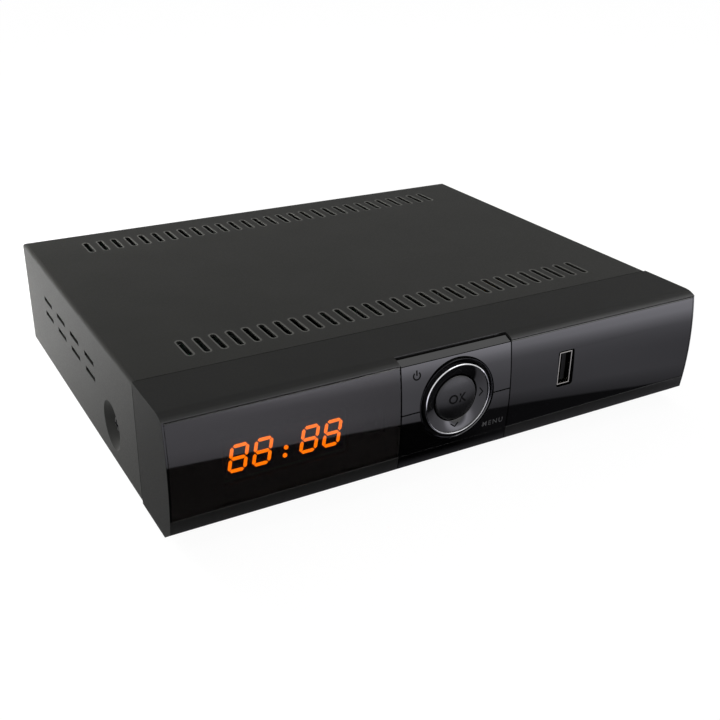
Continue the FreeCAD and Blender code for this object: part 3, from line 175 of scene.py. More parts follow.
class ReceiverLight(bpy.types.PropertyGroup):
    """Levels of the studio."""

    ambient: level_property("Ambient", "Level of the light from all round", 0.25, 2.0)
    key_power: level_property("Key", "Power of the large lamp overhead", 2.6, 200.0, "POWER")
    side_power: level_property("Side", "Power of the lamp at the rear left", 1.5, 200.0, "POWER")
    segment_glow: level_property("Segments", "Level of the lit segments", 12.0, 100.0)


def finishes():
    return bpy.context.scene.receiver_finish


def sizes():
    return bpy.context.scene.receiver_sizes


def ink_height():
    """Thickness of printed marks, in millimetres."""
    return sizes().print_relief / MM


def lights():
    return bpy.context.scene.receiver_light


# -------- materials

SHINE = "Specular IOR Level"
CORE = {"From Min": 0.3, "From Max": 0.7}      # where most values of a noise lie


def add(tree, kind, inputs=(), **settings):
    """Adds a node. Its inputs come by name, or in the order of its sockets: for a MapRange value, from min, from
    max, to min and to max. Each is a value, another node's output, or a node for its first output."""
    made = tree.nodes.new("ShaderNode" + kind)
    for name, value in settings.items():
        setattr(made, name, value)
    for key, value in inputs.items() if isinstance(inputs, dict) else enumerate(inputs):
        if isinstance(value, bpy.types.Node):
            value = value.outputs[0]
        if isinstance(value, bpy.types.NodeSocket):
            tree.links.new(value, made.inputs[key])
        else:
            made.inputs[key].default_value = value
    return made


def blank(name):
    """A new material, its tree, and the object's own coordinates in that tree."""
    material = bpy.data.materials.new(name)
    material.use_nodes = True
    tree = material.node_tree
    tree.nodes.clear()
    return material, tree, add(tree, "TexCoord").outputs["Object"]


def close(tree, shader):
    add(tree, "OutputMaterial", {"Surface": shader})


def seen(tree):
    """1 on the rays of the camera, of gloss and through glass, 0 on the others."""
    path = add(tree, "LightPath").outputs
    either = add(tree, "Math", (path["Is Camera Ray"], path["Is Glossy Ray"]), operation="MAXIMUM")
    return add(tree, "Math", (either, path["Is Transmission Ray"]), operation="MAXIMUM")


def per_mm(size):
    """Scale of a pattern on coordinates in metres whose features are a size in millimetres apart."""
    return 1 / (size * MM)


def tinted(tree, colour, tone):
    """A colour, one of the user's or an sRGB hex value, made lighter or darker by a tone round 1."""
    base = linear(colour) if isinstance(colour, int) else colour
    return add(tree, "VectorMath", {0: tuple(base[:3]), "Scale": tone}, operation="SCALE")


def solid_finish(name, colour, rough, grain=0.3, relief=0.0, drift=0.06, stretch=None, **shader):
    """A finish of one colour. grain is the spacing of its fine texture and relief that texture's height, in
    millimetres. drift is how far its tone wanders. stretch scales the texture along X, Y and Z."""
    material, tree, where = blank(name)
    if stretch:
        where = add(tree, "Mapping", {"Vector": where, "Scale": stretch})
    fine = add(tree, "TexNoise", {"Vector": where, "Scale": per_mm(grain), "Detail": 3.0}).outputs["Fac"]
    broad = add(tree, "TexNoise", {"Vector": where, "Scale": per_mm(18.0), "Detail": 2.0}).outputs["Fac"]
    wander = {**CORE, "To Min": 1 - drift, "To Max": 1 + drift}
    tones = [add(tree, "MapRange", {"Value": noise, **wander}) for noise in (broad, fine)]
    tone = add(tree, "Math", tones, operation="MULTIPLY")
    roughness = add(tree, "MapRange", {"Value": fine, **CORE, "To Min": rough * 0.9, "To Max": rough * 1.1})
    inputs = {"Base Color": tinted(tree, colour, tone), "Roughness": roughness, **shader}
    if relief:
        inputs["Normal"] = add(tree, "Bump", {"Height": fine, "Distance": relief * MM})
    close(tree, add(tree, "BsdfPrincipled", inputs))
    return material


def opened(material):
    """The tree of a finish and its shader."""
    tree = material.node_tree
    return tree, next(node for node in tree.nodes if node.type == "BSDF_PRINCIPLED")


def beside_slots(tree):
    """1 on the top close to the edge of a vent slot, where the cover gets a painted highlight, 0 elsewhere."""
    axes = add(tree, "SeparateXYZ", {"Vector": add(tree, "TexCoord").outputs["Object"]}).outputs
    half = SLOT_PITCH / 2 * MM
    across = add(tree, "Math", (axes["X"], half, -half), operation="WRAP")
    rows = [add(tree, "Math", (axes["Y"], -row * MM), operation="ADD") for row in SLOT_ROWS]
    rows = [add(tree, "Math", (row,), operation="ABSOLUTE") for row in rows]
    along = add(tree, "Math", rows, operation="MINIMUM")
    past = add(tree, "Math", (along, (SLOT_LENGTH - SLOT_WIDTH) / 2 * MM), operation="SUBTRACT")
    past = add(tree, "Math", (past, 0.0), operation="MAXIMUM")
    reach = add(tree, "VectorMath", {0: add(tree, "CombineXYZ", {"X": across, "Y": past})},
                operation="LENGTH").outputs["Value"]
    rim = add(tree, "MapRange", (reach, (SLOT_WIDTH / 2 + 0.65) * MM, (SLOT_WIDTH / 2 + 0.4) * MM))
    skin = add(tree, "MapRange", (axes["Z"], (COVER_TOP - 0.3) * MM, (COVER_TOP - 0.1) * MM))
    out = add(tree, "Math", (axes["X"],), operation="ABSOLUTE")
    within = add(tree, "Math", (out, SLOT_COUNT * half), operation="LESS_THAN")
    rim = add(tree, "Math", (rim, skin), operation="MULTIPLY")
    return add(tree, "Math", (rim, within), operation="MULTIPLY")


def powder_coat():
    # Steel cover, sprayed with polyester powder and baked: a satin skin with fine orange peel, 0.6 mm across.
    # The colour is made paler along the punched edges of the vent slots: a painted highlight.
    material = solid_finish("satin_powder_coat", finishes().cover, 0.5, grain=0.6, relief=0.006, drift=0.05,
                            **{SHINE: 0.22})
    tree, shader = opened(material)
    # painted highlight: the base colour grows up to 4.2 times paler beside the vent slots
    slot_edge_highlight = add(tree, "MapRange", (beside_slots(tree), 0.0, 1.0, 1.0, 4.2))
    base = shader.inputs["Base Color"].links[0].from_socket
    both = add(tree, "VectorMath", {0: base, "Scale": slot_edge_highlight}, operation="SCALE")
    tree.links.new(both.outputs[0], shader.inputs["Base Color"])
    return material


def panel_plastic():
    # ABS moulded in a tool with a fine spark-eroded texture. The narrow lands round the gloss faces, which look
    # to the front, are stoned smooth and shine.
    material = solid_finish("spark_textured_abs", finishes().panel, 0.6, grain=0.35, relief=0.004, drift=0.04)
    tree, shader = opened(material)
    way = add(tree, "SeparateXYZ", {"Vector": add(tree, "TexCoord").outputs["Normal"]}).outputs["Y"]
    land = add(tree, "MapRange", (way, -0.35, -0.6))
    rough = shader.inputs["Roughness"].links[0].from_socket
    smooth = add(tree, "Mix", {0: land, 2: rough, 3: 0.22})
    tree.links.new(smooth.outputs[0], shader.inputs["Roughness"])
    sheen = add(tree, "MapRange", (land, 0.0, 1.0, 0.15, 0.42))
    tree.links.new(sheen.outputs[0], shader.inputs[SHINE])
    return material


def bright_plate(name, colour, rough):
    # Bright electroplate on pressed or turned metal: nearly mirror, a little clouded.
    return solid_finish(name, colour, rough, grain=0.8, relief=0.001, drift=0.05, Metallic=1.0)


def smoked_acrylic():
    # Clear acrylic dyed black-brown, polished on both sides: only what shines behind it is seen.
    material, tree, where = blank("smoked_acrylic")
    wave = add(tree, "TexNoise", {"Vector": where, "Scale": per_mm(40.0), "Detail": 1.0}).outputs["Fac"]
    tint = add(tree, "MapRange", (wave, 0.0, 1.0, 0.95, 1.05))
    close(tree, add(tree, "BsdfPrincipled", {"Base Color": tinted(tree, 0x5A5554, tint), "Roughness": 0.03,
                                             "IOR": 1.49, "Transmission Weight": 1.0}))
    return material


def lit_segment():
    # Light-pipe of a lit segment: a warm light that is almost even over the segment.
    material, tree, where = blank("lit_segment")
    light, glow = (*finishes().lit, 1.0), lights().segment_glow
    uneven = add(tree, "TexNoise", {"Vector": where, "Scale": per_mm(1.2), "Detail": 1.0}).outputs["Fac"]
    level = add(tree, "MapRange", {"Value": uneven, **CORE, "To Min": glow * 0.9, "To Max": glow * 1.1})
    close(tree, add(tree, "BsdfPrincipled", {"Base Color": light, "Roughness": 0.5, "Emission Color": light,
                                             "Emission Strength": level}))
    return material


def circuit_board(name, resist, copper):
    # Glass-fibre board under solder resist: the copper tracks show as paler lines, the pads as tinned dots.
    material, tree, where = blank(name)
    black = (0, 0, 0, 1)
    tracks = add(tree, "TexBrick", {"Vector": where, "Color1": black, "Color2": black, "Mortar": WHITE,
                                    "Scale": per_mm(8.0), "Mortar Size": 0.06, "Brick Width": 1.3,
                                    "Row Height": 0.27}).outputs["Color"]
    board = add(tree, "Mix", {0: tracks, 6: linear(resist), 7: linear(copper)}, data_type="RGBA").outputs[2]
    spots = add(tree, "TexVoronoi", {"Vector": where, "Scale": per_mm(4.0)}).outputs["Distance"]
    pad = add(tree, "Math", (spots, 0.14), operation="LESS_THAN")
    tinned = add(tree, "Mix", {0: pad, 6: board, 7: linear(0xB8B8B0)}, data_type="RGBA").outputs[2]
    close(tree, add(tree, "BsdfPrincipled", {"Base Color": tinned, "Metallic": pad, "Roughness": 0.35}))
    return material


def wound_tape():
    # Polyester tape wound over copper: narrow turns 1.5 mm apart, with relief from a bump and a painted highlight
    # and shade in bands on their colour.
    material, tree, where = blank("wound_polyester_tape")
    turns = add(tree, "TexWave", {"Vector": where, "Scale": per_mm(1.5) / FULL_TURN, "Distortion": 0.6},
                bands_direction="Z").outputs["Fac"]
    # painted highlight and shade: the tape's colour is made lighter and darker along the turns
    tone = add(tree, "MapRange", (turns, 0.0, 1.0, 0.75, 1.1))
    bump = add(tree, "Bump", {"Height": turns, "Distance": 0.1 * MM})
    close(tree, add(tree, "BsdfPrincipled", {"Base Color": tinted(tree, 0xC99A1E, tone), "Roughness": 0.3,
                                             "Normal": bump}))
    return material


def ink(name, colour):
    # Screen ink: a flat, nearly sheenless film, a little uneven where the mesh let it through.
    return solid_finish(name, colour, 0.7, drift=0.08, **{SHINE: 0.08})


def all_materials():
    """The finish of each material slot of the record."""
    look = finishes()
    made = {
        "cover_paint": powder_coat(),
        "panel_plastic": panel_plastic(),
        # ABS from a mirror-polished tool: a deep black with a clean, sharp reflection.
        "gloss_black": solid_finish("mirror_polished_abs", look.gloss, 0.035, grain=9.0, drift=0.02),
        # ABS under a hard clear lacquer: it shines a little more than the bare faces beside it.
        "key_gloss": solid_finish("clear_lacquered_abs", look.gloss, 0.035, grain=9.0, drift=0.02, IOR=1.62),
        "smoked_lens": smoked_acrylic(),
        # ABS sprayed with a dark lacquer: a gloss that is soft enough to blur what it shows.
        "button_gloss": solid_finish("dark_lacquer", look.button, 0.24, grain=0.25, relief=0.0005, drift=0.05,
                                     IOR=1.52),
        # Black ABS for inner frames and sockets, left as it leaves the tool.
        "black_plastic": solid_finish("moulded_black_abs", 0x0B0B0B, 0.5, grain=0.5, relief=0.004,
                                      **{SHINE: 0.15}),
        # Moulded rubber: matt, with a faint bloom.
        "foot_rubber": solid_finish("moulded_rubber", 0x1B1B1B, 0.75, grain=0.5, relief=0.01, drift=0.12),
        # Electro-galvanised sheet: a dull bright grey, rolled along X so that its fine lines run that way.
        "zinc_sheet": solid_finish("electro_galvanised_sheet", 0xA9ACAE, 0.38, grain=0.5, relief=0.003,
                                   drift=0.07, stretch=(0.06, 1.0, 1.0), Metallic=1.0),
        "trim_silver": bright_plate("vacuum_metallised_chrome", 0xD8D8DA, 0.10),
        "screw_steel": bright_plate("black_oxide_steel", 0x2A2A2C, 0.38),
        "bright_steel": bright_plate("zinc_plated_steel", 0xB4B6B8, 0.25),
        "socket_nickel": bright_plate("nickel_plate", 0xC2BFB8, 0.18),
        "contact_gold": bright_plate("gold_flash", 0xD9B45A, 0.22),
        # Extruded aluminium: fine die lines along the fins.
        "fin_aluminium": solid_finish("extruded_aluminium", 0xB0B2B4, 0.34, grain=0.4, relief=0.004,
                                      stretch=(1.0, 0.05, 1.0), Metallic=1.0),
        "board_green": circuit_board("green_solder_resist", 0x0F4A26, 0x1C6B38),
        "board_tan": circuit_board("paper_phenolic_board", 0xA8855A, 0x946F42),
        # Moulded epoxy with a faint laser-matt top.
        "chip_black": solid_finish("moulded_epoxy", 0x1A1A1B, 0.55, relief=0.003),
        "lit_orange": lit_segment(),
        # Dark filter face of the clock module: almost black, so that unlit segments don't show.
        "display_grey": solid_finish("printed_filter_face", 0x0C0C0D, 0.6, grain=0.5),
        # Resin that is dark to the eye and clear to infrared.
        "eye_dark": solid_finish("infrared_clear_resin", 0x120A12, 0.08, grain=6.0),
        # Calendered insulating film: milky and smooth.
        "film_clear": solid_finish("insulating_film", 0xB9B8AC, 0.35, grain=3.0, drift=0.05),
        # Sintered ferrite: dull dark ceramic.
        "ferrite": solid_finish("sintered_ferrite", 0x3A3A3C, 0.55, relief=0.01),
        "winding_tape": wound_tape(),
        # Shrink sleeve over an aluminium can: smooth, with a soft shine.
        "capacitor_sleeve": solid_finish("shrink_sleeve", 0x1B2438, 0.25, grain=4.0),
        # Red lacquer dipped over enamelled wire.
        "filter_red": solid_finish("dipped_red_lacquer", 0x7E2A1A, 0.28, grain=0.8, relief=0.05),
        # Drawn glass tube: clear and shiny, with a pale cast.
        "fuse_glass": solid_finish("fuse_glass", 0xC8CCC8, 0.08, grain=5.0, **{"Transmission Weight": 0.6}),
        # Grey flexible vinyl on flat leads, ribbed by its wires every 1.27 mm.
        "lead_grey": solid_finish("flexible_vinyl", 0x7C7C80, 0.5, grain=1.27, relief=0.08,
                                  stretch=(1.0, 0.02, 0.02)),
        # Natural nylon: a warm cream with a dull shine.
        "header_cream": solid_finish("nylon_header", 0xD8D3C2, 0.45, grain=0.8, relief=0.003),
    }
    # Coloured plastic of the phono sockets' collars: plain, with a dull shine.
    for tint, colour in (("yellow", 0xD9AE14), ("white", 0xDADAD4), ("red", 0xA81A1A)):
        made[f"jack_{tint}"] = solid_finish(f"{tint}_polypropylene", colour, 0.4, grain=0.6, relief=0.003)
    return made


MATERIALS = {}
SLOT_OF = {part["node"]: part["material_slot"] for part in frame["record"]["subparts"]}
BODY_OF = {node: body for body, nodes in frame["record"]["behaviour"]["bodies"].items() for node in nodes}

# -------- modelling helpers


def placed(name, data):
    """A new object of the scene."""
    obj = bpy.data.objects.new(name, data)
    bpy.context.scene.collection.objects.link(obj)
    return obj


def mesh_of(name, bm):
    mesh = bpy.data.meshes.new(name)
    bm.to_mesh(mesh)
    bm.free()
    return mesh


def mesh_in_metres(name, bm):
    """A closed mesh of a bmesh in millimetres."""
    bmesh.ops.remove_doubles(bm, verts=bm.verts, dist=0.0005)
    bmesh.ops.recalc_face_normals(bm, faces=bm.faces)
    bmesh.ops.scale(bm, vec=(MM, MM, MM), verts=bm.verts)
    return mesh_of(name, bm)


def soften(obj, width, segments=2):
    """Rounds an object's sharp edges and keeps its large faces flat."""
    if width:
        bevel = obj.modifiers.new("Rounding", "BEVEL")
        bevel.width = width
        bevel.segments = segments
        bevel.limit_method = "ANGLE"
        bevel.angle_limit = math.radians(32)
        bevel.miter_outer = "MITER_ARC"
        bevel.use_clamp_overlap = True
    weight = obj.modifiers.new("Normals", "WEIGHTED_NORMAL")
    weight.keep_sharp = True


def piece(name, bm, node=None, slot=None, body=None, edge=0.0, segments=2, material=None):
    """Makes a finished piece of a bmesh in millimetres. It takes its body and slot from the node that it stands
    for, or is given them."""
    slot = slot or SLOT_OF[node]
    mesh = mesh_in_metres(name, bm)
    mesh.materials.append(material or MATERIALS[slot])
    mesh.polygons.foreach_set("use_smooth", [True] * len(mesh.polygons))
    if not edge:
        mesh.set_sharp_from_angle(angle=math.radians(35))
    obj = placed(name, mesh)
    soften(obj, edge, segments)
    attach(obj, body or BODY_OF[node])
    if node:
        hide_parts(node)
    return obj


def own_shape(name, node, edge=0.0, segments=2):
    """A piece with the shape of the node that it stands for."""
    bm = bmesh.new()
    bm.from_mesh(frame["nodes"][node].data)
    bmesh.ops.scale(bm, vec=(1 / MM, 1 / MM, 1 / MM), verts=bm.verts)
    bmesh.ops.remove_doubles(bm, verts=bm.verts, dist=0.001)
    return piece(name, bm, node, edge=edge, segments=segments)


def dress(edge, *nodes):
    """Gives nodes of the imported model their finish, and rounds their edges in millimetres with live modifiers."""
    for node in nodes:
        obj = frame["nodes"][node]
        for place in obj.material_slots:
            place.material = MATERIALS[SLOT_OF[node]]
        if edge:
            weld = obj.modifiers.new("Weld", "WELD")
            weld.merge_threshold = 0.002 * MM
            soften(obj, edge * MM)


ALONG = {
    "X": Matrix.Rotation(math.pi / 2, 4, "Y"),
    "Y": Matrix.Rotation(-math.pi / 2, 4, "X"),
    "Z": Matrix.Identity(4),
}


def lathe(bm, profile, place, axis="Y", steps=None, closed=False):
    """Spins a profile of (radius, height) points round an axis through a place."""
    points = [bm.verts.new((radius, 0.0, height)) for radius, height in profile]
    pairs = list(zip(points, points[1:])) + ([(points[-1], points[0])] if closed else [])
    edges = [bm.edges.new(pair) for pair in pairs]
    old = set(bm.verts) - set(points)
    bmesh.ops.spin(bm, geom=points + edges, cent=(0, 0, 0), axis=(0, 0, 1), angle=FULL_TURN,
                   steps=steps or sizes().round_steps, use_merge=True)
    new = [vert for vert in bm.verts if vert not in old]
    bmesh.ops.transform(bm, matrix=Matrix.Translation(place) @ ALONG[axis], verts=new)


def near(radius, height, *steps):
    """Points of a profile, given by how far they lie from a radius and a height."""
    return [(radius + out, height + up) for out, up in steps]


def turned(name, node, profile, places, axis="Y", steps=None, closed=True, **options):
    """A piece made of one profile, spun round an axis through each place."""
    bm = bmesh.new()
    for place in places:
        lathe(bm, profile, place, axis, steps, closed)
    return piece(name, bm, node, **options)


def drawn_out(bm, outline, start, travel):
    """Draws a closed outline of points along a vector into a solid."""
    face = bm.faces.new([bm.verts.new(Vector(point) + Vector(start)) for point in outline])
    grown = bmesh.ops.extrude_face_region(bm, geom=[face])["geom"]
    moved = [item for item in grown if isinstance(item, bmesh.types.BMVert)]
    bmesh.ops.translate(bm, vec=travel, verts=moved)


def strip(bm, section, left, right):
    """A solid of one section, given as (y, z) points, from left to right."""
    drawn_out(bm, [(0.0, y, z) for y, z in section], (left, 0.0, 0.0), (right - left, 0.0, 0.0))


def brick(bm, low, high):
    """A block between two corners."""
    low, high = Vector(low), Vector(high)
    where = Matrix.Translation((low + high) / 2) @ Matrix.Diagonal((*(high - low), 1.0))
    bmesh.ops.create_cube(bm, size=1.0, matrix=where)


def cut_out(obj, bm):
    """Cuts a solid, given as a bmesh in millimetres, out of a piece's mesh."""
    cutter = placed("cutter", mesh_in_metres("cutter", bm))
    others = [item.name for item in obj.modifiers]
    for name in others:
        obj.modifiers[name].show_viewport = False
    cut = obj.modifiers.new("Cut", "BOOLEAN")
    cut.operation = "DIFFERENCE"
    cut.solver = "EXACT"
    cut.object = cutter
    mesh = evaluated_mesh(obj)
    obj.modifiers.remove(cut)
    for name in others:
        obj.modifiers[name].show_viewport = True
    if not mesh.polygons:
        raise RuntimeError(f"nothing is left of {obj.name} after the cut")
    mesh.name = obj.data.name
    obj.data = mesh
    bpy.data.objects.remove(cutter)


def evaluated_mesh(obj):
    """A mesh of what an object looks like after its modifiers."""
    bpy.context.view_layer.update()
    return bpy.data.meshes.new_from_object(obj.evaluated_get(bpy.context.evaluated_depsgraph_get()))


def lettering(text, size, spacing, weight):
    """A bmesh in millimetres of a short word, centred on the origin, read from the front. Its strokes grow by a
    weight on each side."""
    curve = bpy.data.curves.new("lettering", "FONT")
    curve.body = text
    curve.size = size
    curve.space_character = spacing
    curve.align_x = "CENTER"
    curve.align_y = "CENTER"
    curve.extrude = ink_height() / 2
    curve.offset = weight
    curve.resolution_u = 4
    holder = placed("lettering", curve)
    mesh = evaluated_mesh(holder)
    bm = bmesh.new()
    bm.from_mesh(mesh)
    bpy.data.objects.remove(holder)
    bpy.data.meshes.remove(mesh)
    bmesh.ops.rotate(bm, cent=(0, 0, 0), matrix=Matrix.Rotation(math.pi / 2, 3, "X"), verts=bm.verts)
    return bm


def printed(name, bm, body, material):
    """A printed mark on a body."""
    piece(name, bm, slot="gloss_black", body=body, material=material)


def lay_on_face(bm, x, z):
    """Moves a flat mark in front of a point of the convex face and bends it to the face."""
    for vert in bm.verts:
        vert.co.x += x
        vert.co.z += z
        vert.co.y += face_y(vert.co.z) - PRINT_RISE


def lay_on_ring(bm, surface):
    """Moves a flat mark to the control ring, onto a surface whose depth follows from the distance to its axis."""
    for vert in bm.verts:
        vert.co.y += surface(math.hypot(vert.co.x, vert.co.z)) - PRINT_RISE
        vert.co.x += RING_X
        vert.co.z += RING_Z


# -------- operators


class ReceiverOperator:
    """What all the operators of the receiver share."""

    bl_options = {"REGISTER", "UNDO"}

    @classmethod
    def poll(cls, context):
        return context.scene is not None


class RECEIVER_OT_case(ReceiverOperator, bpy.types.Operator):
    """Folded cover, tray, feet and case screws"""

    bl_idname = "receiver.case"
    bl_label = "Case"

    def execute(self, context):
        own_shape("cover_shell", "top_cover", sizes().edge)
        own_shape("tray_shell", "base_tray", sizes().edge * 0.6, segments=1)
        for row in ("front", "rear"):
            for side in ("left", "right"):
                foot(f"foot_{row}_{side}")
        low, high = span("side_screws")
        y, z = (low.y + high.y) / 2, middle("side_screws").z
        screws("side_screw_pair", "side_screws", "X", 2.9, (((low.x, y, z), -1), ((high.x, y, z), 1)))
        low, high = span("rear_screws")
        z = middle("rear_screws").z
        screws("rear_screw_row", "rear_screws", "Y", 2.8,
               [((x, high.y, z), 1) for x in (low.x + 2.9, 0.0, high.x - 2.9)])
        return {"FINISHED"}


def foot(node):
    """A rubber foot with a rounded rim and a hollow underside."""
    low, high = span(node)
    centre, outer = middle(node), (high.x - low.x) / 2
    profile = [(0.0, 0.9), (2.4, 0.9), (2.7, 0.7), (2.9, 0.15), (3.3, 0.0),
               *near(outer, 0.0, (-1.9, 0), (-1.45, 0.12), (-1.1, 0.5)), (outer, high.z), (0.0, high.z)]
    turned(f"rubber_{node}", node, profile, [(centre.x, centre.y, 0.0)], "Z", closed=False)


def screws(name, node, axis, radius, tips):
    """Pan-head screws with a cross recess."""
    bm, cutter = bmesh.new(), bmesh.new()
    for tip, sign in tips:
        cross_head(bm, cutter, tip, axis, sign, radius)
    cut_out(piece(name, bm, node), cutter)


def cross_head(bm, cutter, tip, axis, sign, radius):
    """A screw whose head's top is at a tip on an axis, pointing along its sign, and the cross that is cut out."""
    head, shank = 1.8, 6.0
    profile = [(0.0, 0.0), (radius * 0.55, -0.06), (radius * 0.85, -0.28), (radius, -0.7), (radius, -head + 0.1),
               (radius - 0.1, -head), (1.2, -head), (1.2, -head - shank + 0.6), (0.7, -head - shank),
               (0.0, -head - shank)]
    lathe(bm, [(r, sign * h) for r, h in profile], tip, axis, steps=40)
    reach, width, deep = radius * 0.62, 0.42, 0.9
    way = ALONG[axis].to_3x3()
    outline = []
    for turn in range(4):
        spin = way @ Matrix.Rotation(turn * math.pi / 2, 3, "Z")
        outline += [Vector(tip) + spin @ Vector((a, b, -deep))
                    for a, b in ((reach, -width), (reach, width), (width, width))]
    drawn_out(cutter, outline, (0.0, 0.0, 0.0), way @ Vector((0.0, 0.0, 2 * deep)))


class RECEIVER_OT_panel(ReceiverOperator, bpy.types.Operator):
    """Moulded front panel with its two gloss faces"""

    bl_idname = "receiver.panel"
    bl_label = "Front panel"

    def execute(self, context):
        own_shape("panel_moulding", "front_bezel", sizes().moulded_edge * 0.7)
        gloss_face("smoked_face", "display_lens")
        fascia = gloss_face("socket_face", "usb_fascia")
        rims()
        x, y, z = rearward("usb_shell")
        bm = bmesh.new()
        drawn_out(bm, rounded(x, z, 7.5, 14.3, 0.8), (0.0, FACE_APEX - 3, 0.0), (0.0, 9.0, 0.0))
        cut_out(fascia, bm)
        dress(0.0, "front_pcb", "led_display", "display_holder", "display_digits", "ir_receiver", "tact_switches")
        return {"FINISHED"}


def gloss_face(name, node):
    """A polished strip of the convex front, with a fine chamfer along its top."""
    low, high = span(node)
    chamfer = 0.4
    section = face_arc(low.z, high.z - chamfer) + [(face_y(high.z) + chamfer, high.z)]
    section += face_arc(low.z, high.z, SKIN)[::-1]
    bm = bmesh.new()
    strip(bm, section, low.x, high.x)
    return piece(name, bm, node, edge=0.10 * MM)


def rims():
    """Gloss film on the narrow front rims of the cheeks, so that the shine runs out to the corners."""
    film, margin = 0.03, 0.12
    section = face_arc(LENS_LOW.z, LENS_HIGH.z, -film) + face_arc(LENS_LOW.z, LENS_HIGH.z)[::-1]
    bm = bmesh.new()
    strip(bm, section, PANEL_LOW.x + margin, LENS_LOW.x - margin)
    strip(bm, section, span("usb_fascia")[1].x + margin, PANEL_HIGH.x - margin)
    piece("rim_film", bm, slot="gloss_black", body="case")


def rounded(x, z, width, height, radius, steps=5):
    """An upright rectangle with round corners, as points round its centre."""
    points = []
    for corner in range(4):
        sx, sz = ((1, 1), (-1, 1), (-1, -1), (1, -1))[corner]
        cx, cz = x + sx * (width / 2 - radius), z + sz * (height / 2 - radius)
        for i in range(steps + 1):
            angle = math.pi / 2 * (corner + i / steps)
            points.append((cx + radius * math.cos(angle), 0.0, cz + radius * math.sin(angle)))
    return points


class RECEIVER_OT_keys(ReceiverOperator, bpy.types.Operator):
    """Two plate keys with their printed marks, and the frame behind them"""

    bl_idname = "receiver.keys"
    bl_label = "Plate keys"

    def execute(self, context):
        power()
        menu()
        own_shape("collar_frame", "key_frame", 0.15 * MM)
        collar_lip()
        power_mark()
        word = lettering("MENU", sizes().print_height / MM * 1.40, 1.36, 0.02)
        lay_on_face(word, 12.7, 16.4)
        printed("menu_word", word, "menu_key", ink("grey_screen_ink", finishes().print_pale))
        return {"FINISHED"}


def plate(name, node, section, post_height):
    """A plate key of one section with a round hole, and the two posts behind it."""
    low, high = span(node)
    bm = bmesh.new()
    strip(bm, section, low.x, high.x)
    obj = piece(name, bm, node, edge=0.18 * MM, material=MATERIALS["key_gloss"])
    bm = bmesh.new()
    lathe(bm, [(0.0, -20.0), (WELL_RADIUS, -20.0), (WELL_RADIUS, 20.0), (0.0, 20.0)], (RING_X, FACE_APEX, RING_Z))
    cut_out(obj, bm)
    bm = bmesh.new()
    half, z = 1.7, post_height
    for x in (-21.0, 12.4):
        brick(bm, (x - half, face_y(z, SKIN) - 0.2, z - half), (x + half, high.y, z + half))
    piece(name + "_posts", bm, slot=SLOT_OF[node], body=BODY_OF[node], edge=0.15 * MM)


def power():
    """The upper key: face, a groove level with the top of the gloss faces, and a flange that leans back."""
    low, high = span("power_key")
    brow = LENS_HIGH.z - 0.15
    crest = high.y - 2.9
    groove = [(face_y(brow, 0.35), brow - 0.28), (face_y(brow, 0.35), brow - 0.08), (face_y(brow), brow)]
    section = face_arc(low.z, brow - 0.3) + groove + [(crest, high.z), (crest, high.z - 1.9)]
    section += face_arc(low.z, brow - 2.2, SKIN)[::-1]
    plate("standby_plate", "power_key", section, 39.5)


def menu():
    """The lower key: face, a crease, and a foot that turns under."""
    low, high = span("menu_key")
    chin, crease, heel = 7.4, 12.5, high.y - 0.9
    line = [(face_y(crease, 0.4), crease - 0.1), (face_y(crease, 0.4), crease + 0.1)]
    section = [(heel, low.z)] + face_arc(chin, crease - 0.1, steps=8) + line + face_arc(crease + 0.1, high.z)
    section += face_arc(8.6, high.z, SKIN)[::-1] + [(heel, low.z + 1.65)]
    plate("menu_plate", "menu_key", section, 16.5)


def collar_lip():
    """Thin sloping ring on the collar, which frames the four-way pad."""
    profile = near(0, CROWN, (14.86, 1.95), (14.86, 0.62), (15.14, 0.26), (15.22, 0.26), (15.22, 1.95))
    # Black nickel: a dark, smoky mirror that shows as a thin grey line.
    nickel = bright_plate("black_nickel_plate", 0x565658, 0.16)
    turned("collar_lip", None, profile, [RING_AXIS], slot="black_plastic", body="case", material=nickel)


def power_mark():
    """Standby symbol: an open ring with a stroke through its gap."""
    radius, line, gap, steps = 1.35, 0.52, math.radians(80), 24
    turns = [math.pi / 2 + gap / 2 + (FULL_TURN - gap) * i / steps for i in range(steps + 1)]
    outline = [(reach * math.cos(turn), 0.0, reach * math.sin(turn))
               for reach, way in ((radius + line / 2, 1), (radius - line / 2, -1)) for turn in turns[::way]]
    bm = bmesh.new()
    drawn_out(bm, outline, (0.0, 0.0, 0.0), (0.0, -ink_height(), 0.0))
    brick(bm, (-line / 2, -ink_height(), 0.1), (line / 2, 0.0, 2.0))
    lay_on_face(bm, -20.6, 42.4)
    printed("standby_mark", bm, "power_key", ink("matt_screen_ink", finishes().print_dark))


class RECEIVER_OT_ring(ReceiverOperator, bpy.types.Operator):
    """Four-way pad, its bright ring, its flexing web and the centre button"""

    bl_idname = "receiver.ring"
    bl_label = "Control ring"

    def execute(self, context):
        pad()
        trim()
        button()
        arrows()
        own_shape("flexing_web", "nav_flex_ring")
        return {"FINISHED"}


def pad():
    """Dished pad with rounded rims, and its posts."""
    profile = near(PAD_HOLE, CROWN, (0, 3.0), (0, 1.55), (0.08, 1.38), (0.25, 1.28))
    profile += near(PAD_RIM, CROWN + 0.2, (-0.2, 0.03), (-0.05, 0.05), (0, 0.15))
    profile += [(PAD_RIM, CROWN + 3.0)]
    bm = bmesh.new()
    lathe(bm, profile, RING_AXIS, closed=True)
    tip, away, half = span("nav_ring")[1].y, 10.2, 1.1
    for dx, dz in ((0, 1), (0, -1), (-1, 0), (1, 0)):
        x, z = RING_X + dx * away, RING_Z + dz * away
        brick(bm, (x - half, CROWN + 2.6, z - half), (x + half, tip, z + half))
    piece("dished_pad", bm, "nav_ring", material=MATERIALS["key_gloss"])


